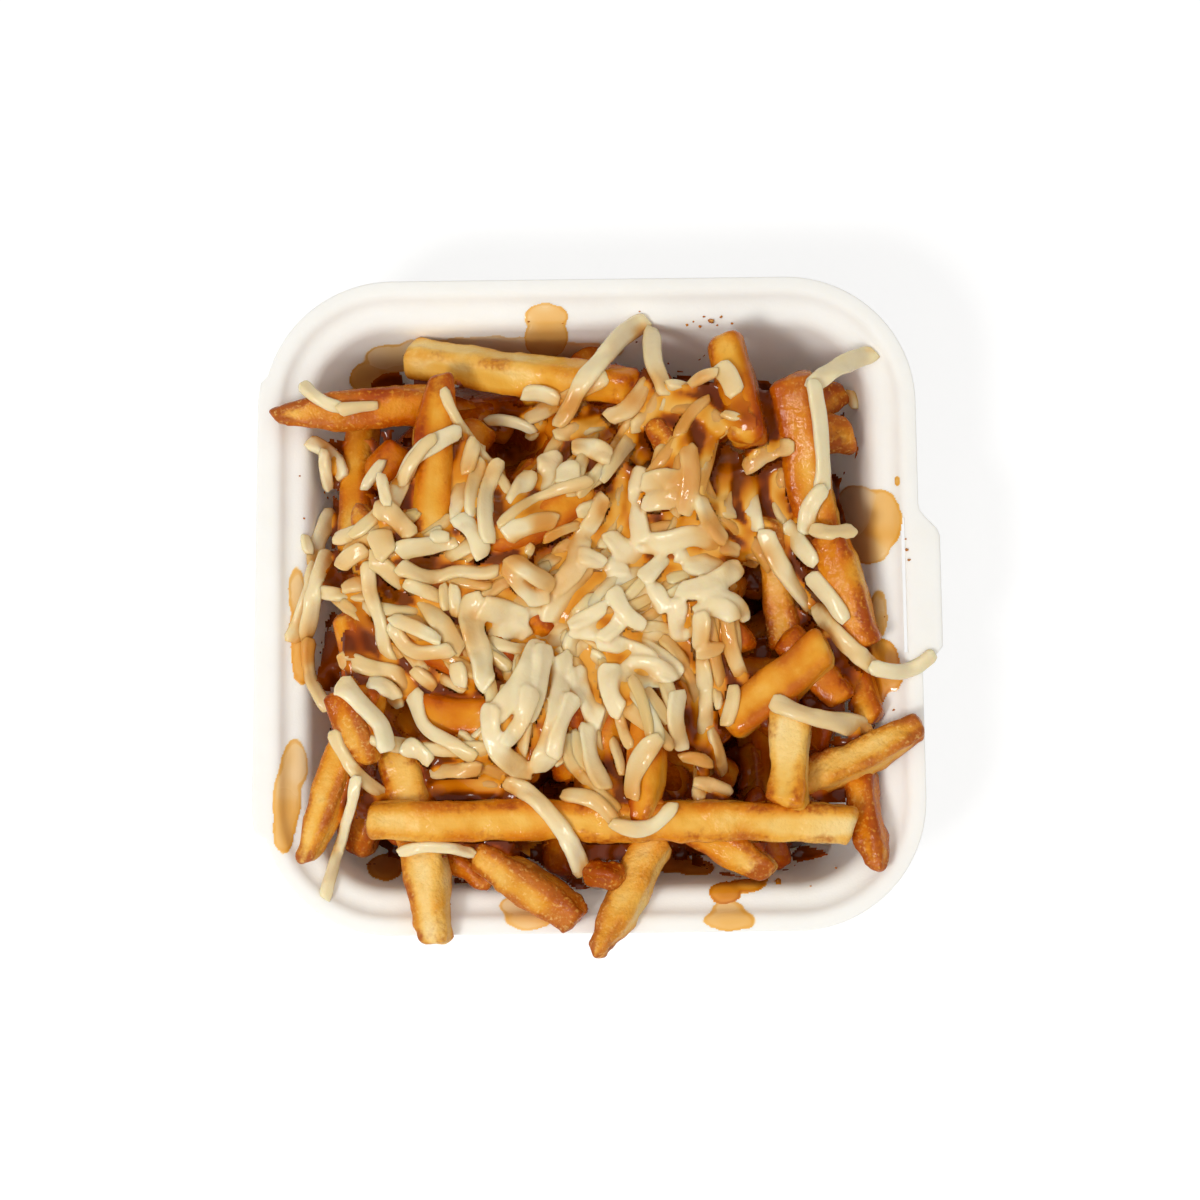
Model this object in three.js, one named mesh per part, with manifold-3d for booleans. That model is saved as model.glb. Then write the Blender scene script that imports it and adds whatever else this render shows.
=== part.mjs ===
// Loaded fries in the base of a square clamshell of white moulded fibre: a heap of thick-cut
// fries with brown gravy, and shredded cheese that has half melted over the middle.
//
// Millimetres, +Z up. The origin is the middle of the tray's flat underside; the latch tab
// points along +X and the hinge strip along -X. Fries and shreds are laid one after another,
// from the lowest to the highest, and each comes to rest on what lies under it.
import * as THREE from 'three';
import { mergeVertices } from 'three/addons/utils/BufferGeometryUtils.js';
import Module from 'manifold-3d';

const wasm = await Module();
wasm.setup();

// The tray: a 6 inch square base with a flat flange, a ledge and sloping walls.
const RIM_HALF = 76;              // half the width over the flange
const RIM_RADIUS = 30;            // corner radius of the flange
const RIM_HEIGHT = 44;
const BOARD = 1.1;                // thickness of the moulded fibre
const CORNER_STEPS = 8;           // flats round each corner
// Section of the tray, [distance in from the flange's edge, height], from the edge to the floor.
const UPPER_FACE = [[0, RIM_HEIGHT], [3.5, RIM_HEIGHT], [5.5, 41.5], [9.2, 40.6], [10.8, 38.6],
  [19.2, 3.6], [21.6, BOARD]];
const UNDER_FACE = [[0, 42.9], [3.1, 42.9], [5, 40.5], [8.6, 39.6], [9.9, 38], [18.2, 3], [21, 0]];

// The latch tab, its slit and the torn hinge strip, all parts of the flange.
const TAB = { tip: 80.8, tipTop: 14.3, tipLow: -11, rootTop: 21.4, rootLow: -17, root: 73 };
const SLIT = { x: 72.3, top: 18.7, low: -12.7, wide: 0.8 };
const HINGE = { top: 54, low: -55, outTop: -77.2, outLow: -78.4, notch: 2, root: -73.5 };

// The contents.
const GAP = 0.3;                  // room between neighbouring solids
const FLOOR_ROOM = 4;             // lowest level that the core's skin reaches before it is cut
const POOL_TOP = 6.5;             // level of the gravy in the bottom
const HEAP_HALF = 61;             // half the width of the heap's core
const HEAP_PEAK = 46;             // height of the core in the middle
const CORE_SPOKES = 26;           // flats round the core
const HEAP_SQUARENESS = 5;        // how square the core is, seen from above
const SINK = 2.4;                 // how far a fry presses into what it lies on
const CORNER_LEAN = 0.62;         // half the angle that a fry's flat side spans, in radians
const WORN_END = 1.6;             // length over which a fry's end is worn
const LONG_FRY = 40;              // from this length on, a fry shows its bow
const UNEVENNESS = 0.1;           // spread of a fry's section, as a share of its size
const FRY_BOW = 0.03;             // most that a fry bends, as a share of its length
const CROWN = 60;                 // height over which the heap packs itself closer
const CROWN_EDGE = 52;            // the same, at the walls
const PACKING = 0.5;              // share that is left of what rises higher than that
const STEEPEST = 0.3;             // most that a fry tilts, as a share of its length
const UNDER_FRIES = 4;            // fries of the layer that hardly shows
const UNDER_SINK = 6;             // how far those lie in the core
const PLAIN_FRIES = 21;           // first rows of the list, deep down: their corners aren't worn
// Hollows between the fries, [x, y, radius, depth]. The deepest reach down to the gravy.
const HOLLOWS = [[-20, 38, 7, 22], [-12, -5, 6, 18], [38, 3, 6, 46], [39, -9, 6, 40], [36, -37, 8, 50],
  [-9, -43, 7, 20], [-57, -8, 7, 10], [4, -58, 9, 16], [-52, 53, 10, 40], [61, 31, 10, 50], [22, 59, 9, 40],
  [22, -60, 9, 30], [-20, -58, 8, 20]];
const SHRED_THICK = 2.8;
const SHRED_STEP = 6;             // spacing of a shred's sections
const SHRED_STIFF = 9;            // tightest radius that a shred bends to as it drapes
const SHRED_SINK = 1.1;           // how far a shred's underside presses into what it lies on

// Places of fries and shreds are given as they look from this eye point, at the rim's height.
const EYE = new THREE.Vector3(2, -62, 590);

// Fries from the lowest to the highest: [x, y of one end, x, y of the other, width, roll in
// degrees, share of the width left at each tip].
const FRIES = [
  [-53, 43, -54.5, 10, 8, 20, 1, 1],
  [-51.5, 29, -43, 36, 8, 10, 1, 1],
  [-52, 16, -50, -4, 8.5, 10, 1, 1],
  [-56, -2, -53, -22, 8, 30, 1, 1],
  [-52, -41, -54, -57.5, 8, 15, 1, 0.7],
  [-49, -49.5, -23.5, -64, 6.5, 25, 0.7, 0.6],
  [-8, -46, -8, -63.5, 8, 20, 1, 1],
  [36, -44, 42.8, -61.5, 5.5, 10, 1, 1],
  [18, -48, 40.5, -63, 8.5, 25, 1, 0.6],
  [53, -26, 49.5, -40, 8, 20, 1, 1],
  [60.5, -41, 64.5, -62.5, 7.5, 30, 1, 0.5],
  [58, -6, 64, -29, 6.5, 20, 1, 1],
  [48, 43, 59.5, 48.8, 7.5, 25, 1, 0.6],
  [46, 38, 60, 39, 9.5, 15, 1, 1],
  [6, 50, 33, 39, 8, 15, 1, 1],
  [-22, 6, -10, -8, 8.5, 20, 1, 1],
  [-24, -8, -16, -22, 8, 20, 1, 1],
  [-45, -8, -28, -14, 8, 15, 1, 1],
  [26, 0, 34.5, -12, 9, 15, 1, 1],
  [-7, -22, -4.5, -41, 8.5, 20, 1, 1],
  [-30, -34, -12, -38, 8, 20, 1, 1],
  [-45, -32, -35.5, -78, 9.6, 12, 1, 0.7],
  [14.5, -54, 0, -81, 9, 20, 1, 0.4],
  [-27, -56.5, -3.5, -73.3, 8.8, 20, 0.7, 0.7],
  [-3, -62, 6.5, -64, 6, 40, 0.6, 0.7],
  [-51, -19, -66, -59.3, 8.6, 25, 1, 0.55],
  [-58, -20, -51.5, -37, 8.6, 20, 1, 0.7],
  [-54.5, 22.8, -47.5, 11, 6, 25, 0.5, 1],
  [-74, 44.6, -32, 45.8, 9.6, 15, 0.35, 1],
  [-37.5, 14.5, -34.8, 53.8, 9.4, 10, 1, 0.7],
  [-42.5, 57.3, 10.5, 49.8, 8.8, 35, 1, 1],
  [14, 42, 25, 26, 7, 20, 0.6, 1],
  [31.2, 61.6, 37, 36, 9.2, 15, 1, 1],
  [46.5, 52.5, 53.3, 8, 10.8, 12, 1, 1],
  [55.5, 15, 62, -12, 9, 20, 1, 1],
  [40.5, 19, 45, -10.5, 8, 20, 1, 1],
  [44, -8, 57.8, -24.5, 8, 15, 1, 1],
  [75.8, -29.8, 45, -44, 8.3, 20, 0.7, 1],
  [-51.8, -49.8, 59.5, -51.6, 9.6, 8, 1, 1],
  [-39.5, -25, -17, -26.5, 9.8, 12, 1, 1],
  [-24.5, 12.5, 0, 27, 9, 18, 0.7, 1],
  [45.2, -26, 43.8, -48.3, 9, 12, 1, 1],
  [13.5, -23, 10.8, -51.3, 9, 20, 1, 0.55],
  [54.5, -10.5, 30.5, -29.5, 10.4, 12, 1, 1],
];

// Shreds of the melted middle: [x, y of one end, x, y of the other, bow to the left, width].
const MELTED_SHREDS = [
  [-28, 2, -23.5, -19.5, -1.5, 5.2], [-20.5, 8.5, -12, -1, 1, 4.6], [-9.5, -5, 0.5, 7.5, 1.5, 4.6],
  [-8, 2, 2.5, 25, -1, 4.2], [3.5, 15, 12, 11.5, -1, 4.4], [10, 12, 34, 11.5, 2.4, 4.6],
  [19, 9, 30, 6.5, 1, 5.6], [27, 0, 35.2, -5, 2.6, 3.4], [24, -2.5, 33, -5, 2, 4],
  [12.5, 31, 11.5, 13.5, -1.5, 4.2], [12, 28, 21, 27.2, 0.5, 4.4], [-9, 34.5, -12, 25.5, 1, 5.2],
  [-7.5, 29.5, -2.5, 30, 0.5, 5.4], [-4, 36, 4.5, 33, 1, 4.4], [22.5, 36, 21.5, 20, 1, 4.2],
  [25, 24, 31, 13.5, -1, 4], [-5, -7, 20, -18, 3, 4.4], [7, -16, 18.5, -18.8, 2, 4.6],
  [-13, -9, -24, -27, 1.5, 5.2], [-24, -24, -15, -39.5, -3.5, 5], [-8, -12, -12.5, -39, 1.5, 5.2],
  [-5, -16, 1.5, -28, -1, 5.4], [3.5, -15, 6, -26, -1.5, 5], [-2, -29, 2.5, -43.5, -1.2, 4.6],
  [19.5, 0, 20, -9, -0.5, 4.6], [24.5, -3, 24.5, -11, 0.5, 4.6], [19.5, -21, 20.5, -34.5, -1, 5],
  [13.5, 3.5, 17, -2.5, 0.5, 4.4],
];

// Shreds that lie on the fries by themselves, listed in the same way.
const LOOSE_SHREDS = [
  [-8, 38.5, 3.5, 42.5, -1, 4], [12.8, 51.8, 4.5, 42.5, 1, 4], [31.5, 34, 33, 19, -2, 3.6],
  [17, 46, 31.5, 38.5, 2.4, 4.6], [13.8, 66, -7.5, 41, -2.6, 4.4], [-47, 21.5, -30, 40, 3.4, 4.2],
  [-27.5, 37, -31, 18.5, -1, 4.6], [-31, 20, -25.5, 10.5, 2, 4.8], [-65, 38.5, -54.5, 27, 1.6, 4.4],
  [-59.5, 21, -64.5, 8.5, -1, 4.8], [-64, 9, -69.5, -8.5, 0.5, 4], [-58, 13, -65.5, -8, -1.8, 4.2],
  [-65.5, -8, -61, -24.5, -2, 3.6], [-58, 8.2, -51.8, 12.5, 0.6, 4.6],
  [-52.3, 9.5, -43, -19, -1.6, 3.8], [-51.5, 10.5, -30, -11, 1.8, 5], [-44.5, 11, -31, 13.5, 1.4, 5],
  [-44.5, 7.8, -21.5, 8, -1.6, 4], [-50.5, 21.5, -41.5, 15.5, 2, 5],
  [-58.5, -14, -40.5, -23, 3.4, 4.4], [-41.5, -21, -27, -35.5, -3, 3.8],
  [-58.5, -18.5, -47.5, -34, 2, 5], [-59, -29, -47.5, -44.5, -2.6, 3.8],
  [-37, -42.4, -19, -43.5, 0.6, 4.2], [-20, -41, -2.8, -62.5, 2.6, 4.4], [4, -51, 18, -47, -3.6, 3.6],
  [15, -31.5, 8.8, -45.5, -2.2, 4.6], [43.5, 30, 46.2, 16, -1.6, 4.2], [47, 36, 36, 30.5, -1.4, 4.4],
  [66.5, 58, 51.2, 49.5, -1, 4.6], [51.5, 51, 53.4, 25, 1, 4.2], [53.6, 26, 49.5, 15.2, -1.5, 4.2],
  [39.5, 15.5, 52, -3.5, -1.4, 4.6], [50.2, -1, 65, -16.8, -1, 4.4],
  [62.5, -15.4, 78.5, -13.5, -2.8, 3.8], [41, -24, 63.5, -30, -1, 4.6],
];

// The melted sheet that joins the shreds of the middle.
const SHEET = { x: 1, y: -1, reachX: 33, reachY: 36, thick: 2.4, rings: 4, spokes: 24 };

// ---------------------------------------------------------------- solids
function toSolid(positions, triangles) {
  const geometry = new THREE.BufferGeometry();
  geometry.setAttribute('position', new THREE.Float32BufferAttribute(positions.flat(), 3));
  geometry.setIndex(triangles.flat());
  return fromGeometry(geometry);
}

function fromGeometry(source) {
  const bare = source.clone();
  bare.deleteAttribute('normal');
  bare.deleteAttribute('uv');
  const merged = mergeVertices(bare, 1e-4);
  return new wasm.Manifold(new wasm.Mesh({
    numProp: 3,
    vertProperties: new Float32Array(merged.attributes.position.array),
    triVerts: new Uint32Array(merged.index.array),
  }));
}

function joined(solids) {
  return solids.reduce((sum, solid) => sum.add(solid));
}

// Fusing can cut small scraps loose: the piece with the largest volume is kept.
function largest(solid) {
  return solid.decompose().reduce((best, piece) => (piece.volume() > best.volume() ? piece : best));
}

// A skin over closed rings of points, with a point at the middle of both ends. The rings turn
// counter-clockwise when seen against the direction in which they follow each other.
function loft(rings) {
  const around = rings[0].length;
  const points = rings.flat();
  const faces = [];
  for (let ring = 0; ring + 1 < rings.length; ring++) {
    for (let step = 0; step < around; step++) {
      const next = (step + 1) % around;
      const [a, b] = [ring * around + step, ring * around + next];
      faces.push([a, b, b + around], [a, b + around, a + around]);
    }
  }
  const middle = (ring) => [0, 1, 2].map((k) => ring.reduce((sum, p) => sum + p[k], 0) / around);
  const [start, end] = [points.length, points.length + 1];
  points.push(middle(rings[0]), middle(rings.at(-1)));
  for (let step = 0; step < around; step++) {
    const next = (step + 1) % around;
    const last = (rings.length - 1) * around;
    faces.push([start, next, step], [end, last + step, last + next]);
  }
  return toSolid(points, faces);
}

// ---------------------------------------------------------------- tray
// A ring of the tray, `inset` in from the flange's edge: a square with round corners.
function trayRing(inset, z) {
  const radius = RIM_RADIUS - inset;
  const straight = RIM_HALF - RIM_RADIUS;
  const ring = [];
  for (let corner = 0; corner < 4; corner++) {
    const [cx, cy] = [[1, 1], [-1, 1], [-1, -1], [1, -1]][corner];
    for (let step = 0; step <= CORNER_STEPS; step++) {
      const angle = (corner + step / CORNER_STEPS) * Math.PI / 2;
      ring.push([cx * straight + radius * Math.cos(angle), cy * straight + radius * Math.sin(angle), z]);
    }
  }
  return ring;
}

// The tray as one lofted skin: up the inside from the floor, over the flange, and back underneath.
function trayShell(upper, under) {
  const up = [...upper].reverse().map(([inset, z]) => trayRing(inset, z));
  const down = under.map(([inset, z]) => trayRing(inset, z));
  return loft([...down.reverse(), ...up.reverse()]);
}

// A flat piece of the flange's thickness with the given outline.
function flangePiece(shape) {
  const thick = RIM_HEIGHT - UNDER_FACE[0][1];
  const geometry = new THREE.ExtrudeGeometry(shape, { depth: thick, bevelEnabled: false, curveSegments: 6 });
  geometry.translate(0, 0, UNDER_FACE[0][1]);
  return fromGeometry(geometry);
}

function latchTab() {
  const edge = RIM_HALF - 0.1;
  const bend = (TAB.tip - edge) / 2;
  const shape = new THREE.Shape();
  shape.moveTo(TAB.root, TAB.rootLow);
  shape.lineTo(edge, TAB.rootLow);
  shape.bezierCurveTo(edge + bend * 0.3, TAB.rootLow + 3, TAB.tip, TAB.tipLow - 3, TAB.tip, TAB.tipLow);
  shape.lineTo(TAB.tip, TAB.tipTop);
  shape.bezierCurveTo(TAB.tip, TAB.tipTop + 3, edge + bend * 0.3, TAB.rootTop - 3, edge, TAB.rootTop);
  shape.lineTo(TAB.root, TAB.rootTop);
  return flangePiece(shape);
}

function hingeStrip() {
  const shape = new THREE.Shape();
  shape.moveTo(HINGE.root, HINGE.top);
  shape.lineTo(-RIM_HALF + 0.1, HINGE.top);
  shape.lineTo(HINGE.outTop, HINGE.top - HINGE.notch);
  shape.lineTo(HINGE.outLow, HINGE.low + HINGE.notch);
  shape.lineTo(-RIM_HALF + 0.1, HINGE.low);
  shape.lineTo(HINGE.root, HINGE.low);
  return flangePiece(shape);
}

function latchSlit() {
  const geometry = new THREE.BoxGeometry(SLIT.wide, SLIT.top - SLIT.low, 4 * BOARD);
  geometry.translate(SLIT.x, (SLIT.top + SLIT.low) / 2, RIM_HEIGHT - BOARD);
  return fromGeometry(geometry);
}

function tray() {
  return joined([trayShell(UPPER_FACE, UNDER_FACE), latchTab(), hingeStrip()]).subtract(latchSlit());
}

// The same tray, thicker by `room` on its inner side: what the contents are kept clear of.
function trayWithRoom(room) {
  const upper = UPPER_FACE.map(([inset, z]) => [inset + (z < RIM_HEIGHT ? room : 0), z + room]);
  const under = UNDER_FACE.map(([inset, z]) => [inset, z - 2 * BOARD]);
  return trayShell(upper, under);
}

// ---------------------------------------------------------------- the lie of the heap
// Distance in from the flange's edge at a place seen from above.
function insetAt(x, y) {
  const [dx, dy] = [Math.abs(x), Math.abs(y)].map((v) => v - (RIM_HALF - RIM_RADIUS));
  return RIM_RADIUS - Math.hypot(Math.max(dx, 0), Math.max(dy, 0)) - Math.min(Math.max(dx, dy), 0);
}

// Height of the tray's upper face, read off its section. Pieces that reach out over the tab or
// the flange's edge stay at the flange's height.
function trayHeight(x, y) {
  const inset = insetAt(x, y);
  if (inset < 0) return RIM_HEIGHT;
  const after = UPPER_FACE.findIndex(([at]) => at > inset);
  if (after < 0) return BOARD;
  const [[i0, z0], [i1, z1]] = [UPPER_FACE[after - 1], UPPER_FACE[after]];
  return z0 + (z1 - z0) * (inset - i0) / (i1 - i0);
}

// How far out a place lies: 0 in the middle of the heap, 1 at the core's edge and beyond it.
function heapSpread(x, y) {
  return Math.min(1, (Math.abs(x / HEAP_HALF) ** HEAP_SQUARENESS
    + Math.abs(y / HEAP_HALF) ** HEAP_SQUARENESS) ** (1 / HEAP_SQUARENESS));
}

// The core of the heap: a squarish dome with hollows and soft bumps.
function coreHeight(x, y) {
  const spread = heapSpread(x, y);
  if (spread >= 1) return FLOOR_ROOM;
  let z = POOL_TOP + (HEAP_PEAK - POOL_TOP) * Math.sqrt(1 - spread ** 5);
  for (const [hx, hy, radius, depth] of HOLLOWS) {
    z -= depth * Math.exp(-((x - hx) ** 2 + (y - hy) ** 2) / radius ** 2);
  }
  z += 1.5 * Math.sin(x / 6.1) * Math.cos(y / 5.3);
  return Math.max(z, FLOOR_ROOM);
}

// Heights of whatever lies on top so far, on a grid with one value for each square millimetre.
const FIELD_HALF = 86;
const FIELD_SIDE = 2 * FIELD_HALF + 1;
const FIELD_STEP = 0.5;           // spacing at which pieces are added to the heights
const topHeights = new Float32Array(FIELD_SIDE * FIELD_SIDE);
for (let row = 0; row < FIELD_SIDE; row++) {
  for (let column = 0; column < FIELD_SIDE; column++) {
    const [x, y] = [column - FIELD_HALF, row - FIELD_HALF];
    const wall = trayHeight(x, y) + SINK + GAP;
    topHeights[row * FIELD_SIDE + column] = Math.max(wall, coreHeight(x, y));
  }
}

function topAt(x, y) {
  const column = THREE.MathUtils.clamp(x + FIELD_HALF, 0, FIELD_SIDE - 2);
  const row = THREE.MathUtils.clamp(y + FIELD_HALF, 0, FIELD_SIDE - 2);
  const [c, r] = [Math.floor(column), Math.floor(row)];
  const [u, v] = [column - c, row - r];
  const at = (dc, dr) => topHeights[(r + dr) * FIELD_SIDE + c + dc];
  return (at(0, 0) * (1 - u) + at(1, 0) * u) * (1 - v) + (at(0, 1) * (1 - u) + at(1, 1) * u) * v;
}

// Height of a section's outline, a list of corners, at a distance to the side of its middle.
function sectionTop(corners, out) {
  let top = -Infinity;
  corners.forEach(([a, b], i) => {
    const [a2, b2] = corners[(i + 1) % corners.length];
    if ((a - out) * (a2 - out) > 0 || a === a2) return;
    top = Math.max(top, b + (b2 - b) * (out - a) / (a2 - a));
  });
  return top;
}

// Adds a bar or a strip to the heights: the top of its section, all along its line.
function raise(line, corners, sizeAt = () => 1) {
  const wide = Math.max(...corners.map(([a]) => Math.abs(a)));
  pointsBetween(line, FIELD_STEP).forEach((p, i, all) => {
    const last = all.length - 1;
    const size = sizeAt(i / last);
    const along = all[Math.min(i + 1, last)].clone().sub(all[Math.max(i - 1, 0)]).normalize();
    for (let out = -wide; out <= wide; out += FIELD_STEP) {
      const column = Math.round(p.x - along.y * out * size) + FIELD_HALF;
      const row = Math.round(p.y + along.x * out * size) + FIELD_HALF;
      const cell = row * FIELD_SIDE + column;
      topHeights[cell] = Math.max(topHeights[cell], p.z + sectionTop(corners, out) * size);
    }
  });
}

// Points along a broken line, `spacing` apart or a little less.
function pointsBetween(corners, spacing) {
  const points = [corners[0]];
  for (let i = 1; i < corners.length; i++) {
    const steps = Math.ceil(corners[i].distanceTo(corners[i - 1]) / spacing);
    for (let step = 1; step <= steps; step++) points.push(corners[i - 1].clone().lerp(corners[i], step / steps));
  }
  return points;
}

function seenFrom(x, y, z) {
  const share = (EYE.z - z) / (EYE.z - RIM_HEIGHT);
  return new THREE.Vector3(EYE.x + (x - EYE.x) * share, EYE.y + (y - EYE.y) * share, z);
}

// ---------------------------------------------------------------- fries
let seed = 20;
function random() {
  seed = (seed * 16807) % 2147483647;
  return seed / 2147483647;
}

// A fry lies like a beam on the heap: of all its tilts, it takes the one in which its middle
// comes lowest without passing through what is under it.
function restLikeBeam(start, end, halfWide, halfThick, sink) {
  const length = start.distanceTo(end);
  const side = new THREE.Vector3(start.y - end.y, end.x - start.x, 0).normalize();
  const steps = Math.ceil(length / 1.5);
  const touches = [];
  for (let step = 0; step <= steps; step++) {
    const along = step / steps;
    const p = start.clone().lerp(end, along);
    for (const out of [-0.5, 0, 0.5]) {
      const [x, y] = [p.x + side.x * out * halfWide, p.y + side.y * out * halfWide];
      touches.push([along - 0.5, topAt(x, y) + halfThick - sink]);
    }
  }
  let best = { middle: Infinity, rise: 0 };
  for (let rise = -STEEPEST * length; rise <= STEEPEST * length; rise += 0.25) {
    const middle = Math.max(...touches.map(([along, z]) => z - rise * along));
    if (middle < best.middle) best = { middle, rise };
  }
  return [packed(start, best.middle - best.rise / 2, halfThick),
    packed(end, best.middle + best.rise / 2, halfThick)];
}

// Above the heap's crown, pieces press closer together: their tops keep only a share of the rest.
function packed(p, z, halfThick) {
  const crown = CROWN_EDGE + (CROWN - CROWN_EDGE) * (1 - heapSpread(p.x, p.y) ** 2);
  return z - Math.max(0, z + halfThick - crown) * (1 - PACKING);
}

// Shares of a fry's length at which its sections stand: at its ends, where its worn ends begin,
// where a thin tip begins, and half-way along a long one.
function sectionPlaces(length, tip1, tip2, worn) {
  const places = worn ? [0, WORN_END / length, 1 - WORN_END / length, 1] : [0, 1];
  if (tip1 < 1) places.push(1 / 3);
  if (tip2 < 1) places.push(2 / 3);
  if (tip1 + tip2 === 2 && length > LONG_FRY) places.push(1 / 2);
  return places.sort((a, b) => a - b);
}

// The corners of a fry's section: eight where they are worn, at the ends of each flat side, and
// four where they are plain.
function frySection(half, turn, worn) {
  const leans = worn ? [-CORNER_LEAN, CORNER_LEAN] : [Math.PI / 4];
  return [0, 1, 2, 3].flatMap((quarter) => leans.map((lean) => {
    const angle = turn + quarter * Math.PI / 2 + lean;
    return [Math.cos(angle), Math.sin(angle)].map((v) => v * half / Math.cos(lean));
  }));
}

// A fry is an uneven square bar with blunt or thin tips.
function fry([x1, y1, x2, y2, wide, roll, tip1, tip2], sink, worn) {
  const turn = THREE.MathUtils.degToRad(roll);
  const half = wide / 2;
  const section = frySection(half, turn, worn);
  const reach = Math.max(...section.map(([, b]) => b));
  let [start, end] = [seenFrom(x1, y1, RIM_HEIGHT), seenFrom(x2, y2, RIM_HEIGHT)];
  for (let round = 0; round < 2; round++) {
    const [z1, z2] = restLikeBeam(start, end, half, reach, sink);
    [start, end] = [seenFrom(x1, y1, z1), seenFrom(x2, y2, z2)];
  }
  const length = start.distanceTo(end);
  const along = end.clone().sub(start).normalize();
  const side = new THREE.Vector3(-along.y, along.x, 0).normalize();
  const up = along.clone().cross(side);
  const bow = (random() - 0.5) * length * FRY_BOW;
  const sizeAt = (share) => 1 - Math.max(0, 1 - 3 * share) * (1 - tip1) - Math.max(0, 3 * share - 2) * (1 - tip2);
  const rings = sectionPlaces(length, tip1, tip2, worn).map((share) => {
    const middle = start.clone().lerp(end, share).addScaledVector(side, bow * Math.sin(Math.PI * share));
    const blunt = worn && (share === 0 || share === 1) ? 0.72 : 1;
    return frySection(half * sizeAt(share) * blunt, turn, worn).map(([a, b]) => {
      const far = 1 + (random() - 0.5) * UNEVENNESS;
      return middle.clone().addScaledVector(side, a * far).addScaledVector(up, b * far).toArray();
    });
  });
  raise([start, end], section, sizeAt);
  return loft(rings);
}

// A fry of the lower layer: these lie spread over the core in a spiral, each turned at random.
function underFry(index) {
  const far = 44 * Math.sqrt((index + 0.5) / UNDER_FRIES);
  const around = index * 2.4;
  const [x, y] = [far * Math.cos(around), far * Math.sin(around)];
  const turn = random() * Math.PI;
  const half = 12 + 8 * random();
  const [dx, dy] = [half * Math.cos(turn), half * Math.sin(turn)];
  return [x - dx, y - dy, x + dx, y + dy, 8 + random(), 45 * random(), 0.8, 0.8];
}

// ---------------------------------------------------------------- cheese
// The route of a shred: a bow between its two ends, draped on the heap. Where it leaves a high
// point it bends down no tighter than its stiffness lets it.
function drape([x1, y1, x2, y2, bow], lift) {
  const chord = Math.hypot(x2 - x1, y2 - y1);
  const steps = Math.max(2, Math.round(chord * (1 + 2 * (bow / chord) ** 2) / SHRED_STEP));
  const flat = Array.from({ length: steps + 1 }, (_, i) => {
    const share = i / steps;
    const out = bow * 4 * share * (1 - share) / chord;
    return [x1 + (x2 - x1) * share - (y2 - y1) * out, y1 + (y2 - y1) * share + (x2 - x1) * out];
  });
  let heights = flat.map(() => RIM_HEIGHT);
  for (let round = 0; round < 3; round++) {
    const support = flat.map(([x, y], i) => {
      const p = seenFrom(x, y, heights[i]);
      return topAt(p.x, p.y);
    });
    heights = flat.map((_, i) => Math.max(...support.map((z, j) => (
      z - (SHRED_STEP * (i - j)) ** 2 / (2 * SHRED_STIFF)))));
  }
  return flat.map(([x, y], i) => seenFrom(x, y, heights[i] + lift));
}

// A shred is a flat strip with a four-sided section, narrower at both ends.
function shred(route, wide, grow) {
  const last = route.length - 1;
  const rings = route.map((middle, i) => {
    const along = route[Math.min(i + 1, last)].clone().sub(route[Math.max(i - 1, 0)]).normalize();
    const side = new THREE.Vector3(-along.y, along.x, 0).normalize();
    const up = along.clone().cross(side);
    const atEnd = i === 0 ? -1 : Number(i === last);
    const centre = middle.clone().addScaledVector(along, atEnd * grow);
    return shredSection(wide * (atEnd ? 0.7 : 1), grow)
      .map(([a, b]) => centre.clone().addScaledVector(side, a).addScaledVector(up, b).toArray());
  });
  return loft(rings);
}

function shredSection(wide, grow) {
  const [half, low, high] = [wide / 2 + grow, -0.3 * SHRED_THICK - grow, 0.5 * SHRED_THICK + grow];
  return [[half, low], [half * 0.8, high], [-half * 0.8, high], [-half, low]];
}

// The outline of the melted sheet, as a share of its reach in each direction.
function sheetOutline(angle) {
  return 0.9 + 0.09 * Math.cos(3 * angle + 0.6) + 0.07 * Math.sin(5 * angle) + 0.08 * Math.cos(2 * angle - 1.2);
}

// The melted sheet lies over the fries like a thick cloth: its height at a place is the mean of
// the heights around it, pulled up towards the highest.
function sheetHeight(x, y) {
  let [sum, count, high] = [0, 0, 0];
  for (let dy = -4; dy <= 4; dy += 2) {
    for (let dx = -4; dx <= 4; dx += 2) {
      const z = topAt(x + dx, y + dy);
      sum += z;
      count += 1;
      high = Math.max(high, z);
    }
  }
  return 0.35 * sum / count + 0.65 * high;
}

function sheetPlaces() {
  const places = [];
  for (let ring = 1; ring <= SHEET.rings; ring++) {
    for (let spoke = 0; spoke < SHEET.spokes; spoke++) {
      const angle = spoke / SHEET.spokes * 2 * Math.PI;
      const far = ring / SHEET.rings * sheetOutline(angle);
      const [x, y] = [SHEET.x + SHEET.reachX * far * Math.cos(angle), SHEET.y + SHEET.reachY * far * Math.sin(angle)];
      places.push({ ring, angle, point: new THREE.Vector3(x, y, sheetHeight(x, y)) });
    }
  }
  return places;
}

// Rings on the upper side out to the edge, then back to the middle underneath.
function meltedSheet(places, grow) {
  const half = SHEET.thick / 2 + 1.6 * grow;
  const ringOf = (ring, offset, out) => places.filter((place) => place.ring === ring)
    .map(({ angle, point }) => [point.x + out * Math.cos(angle), point.y + out * Math.sin(angle), point.z + offset]);
  const rings = Array.from({ length: SHEET.rings }, (_, i) => i + 1);
  const under = rings.map((ring) => ringOf(ring, -half, ring === SHEET.rings ? grow - 0.5 : 0));
  const upper = rings.map((ring) => ringOf(ring, half, ring === SHEET.rings ? grow - 0.5 : 0)).reverse();
  return loft([...under, ringOf(SHEET.rings, 0, grow + 0.5), ...upper]);
}

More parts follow.
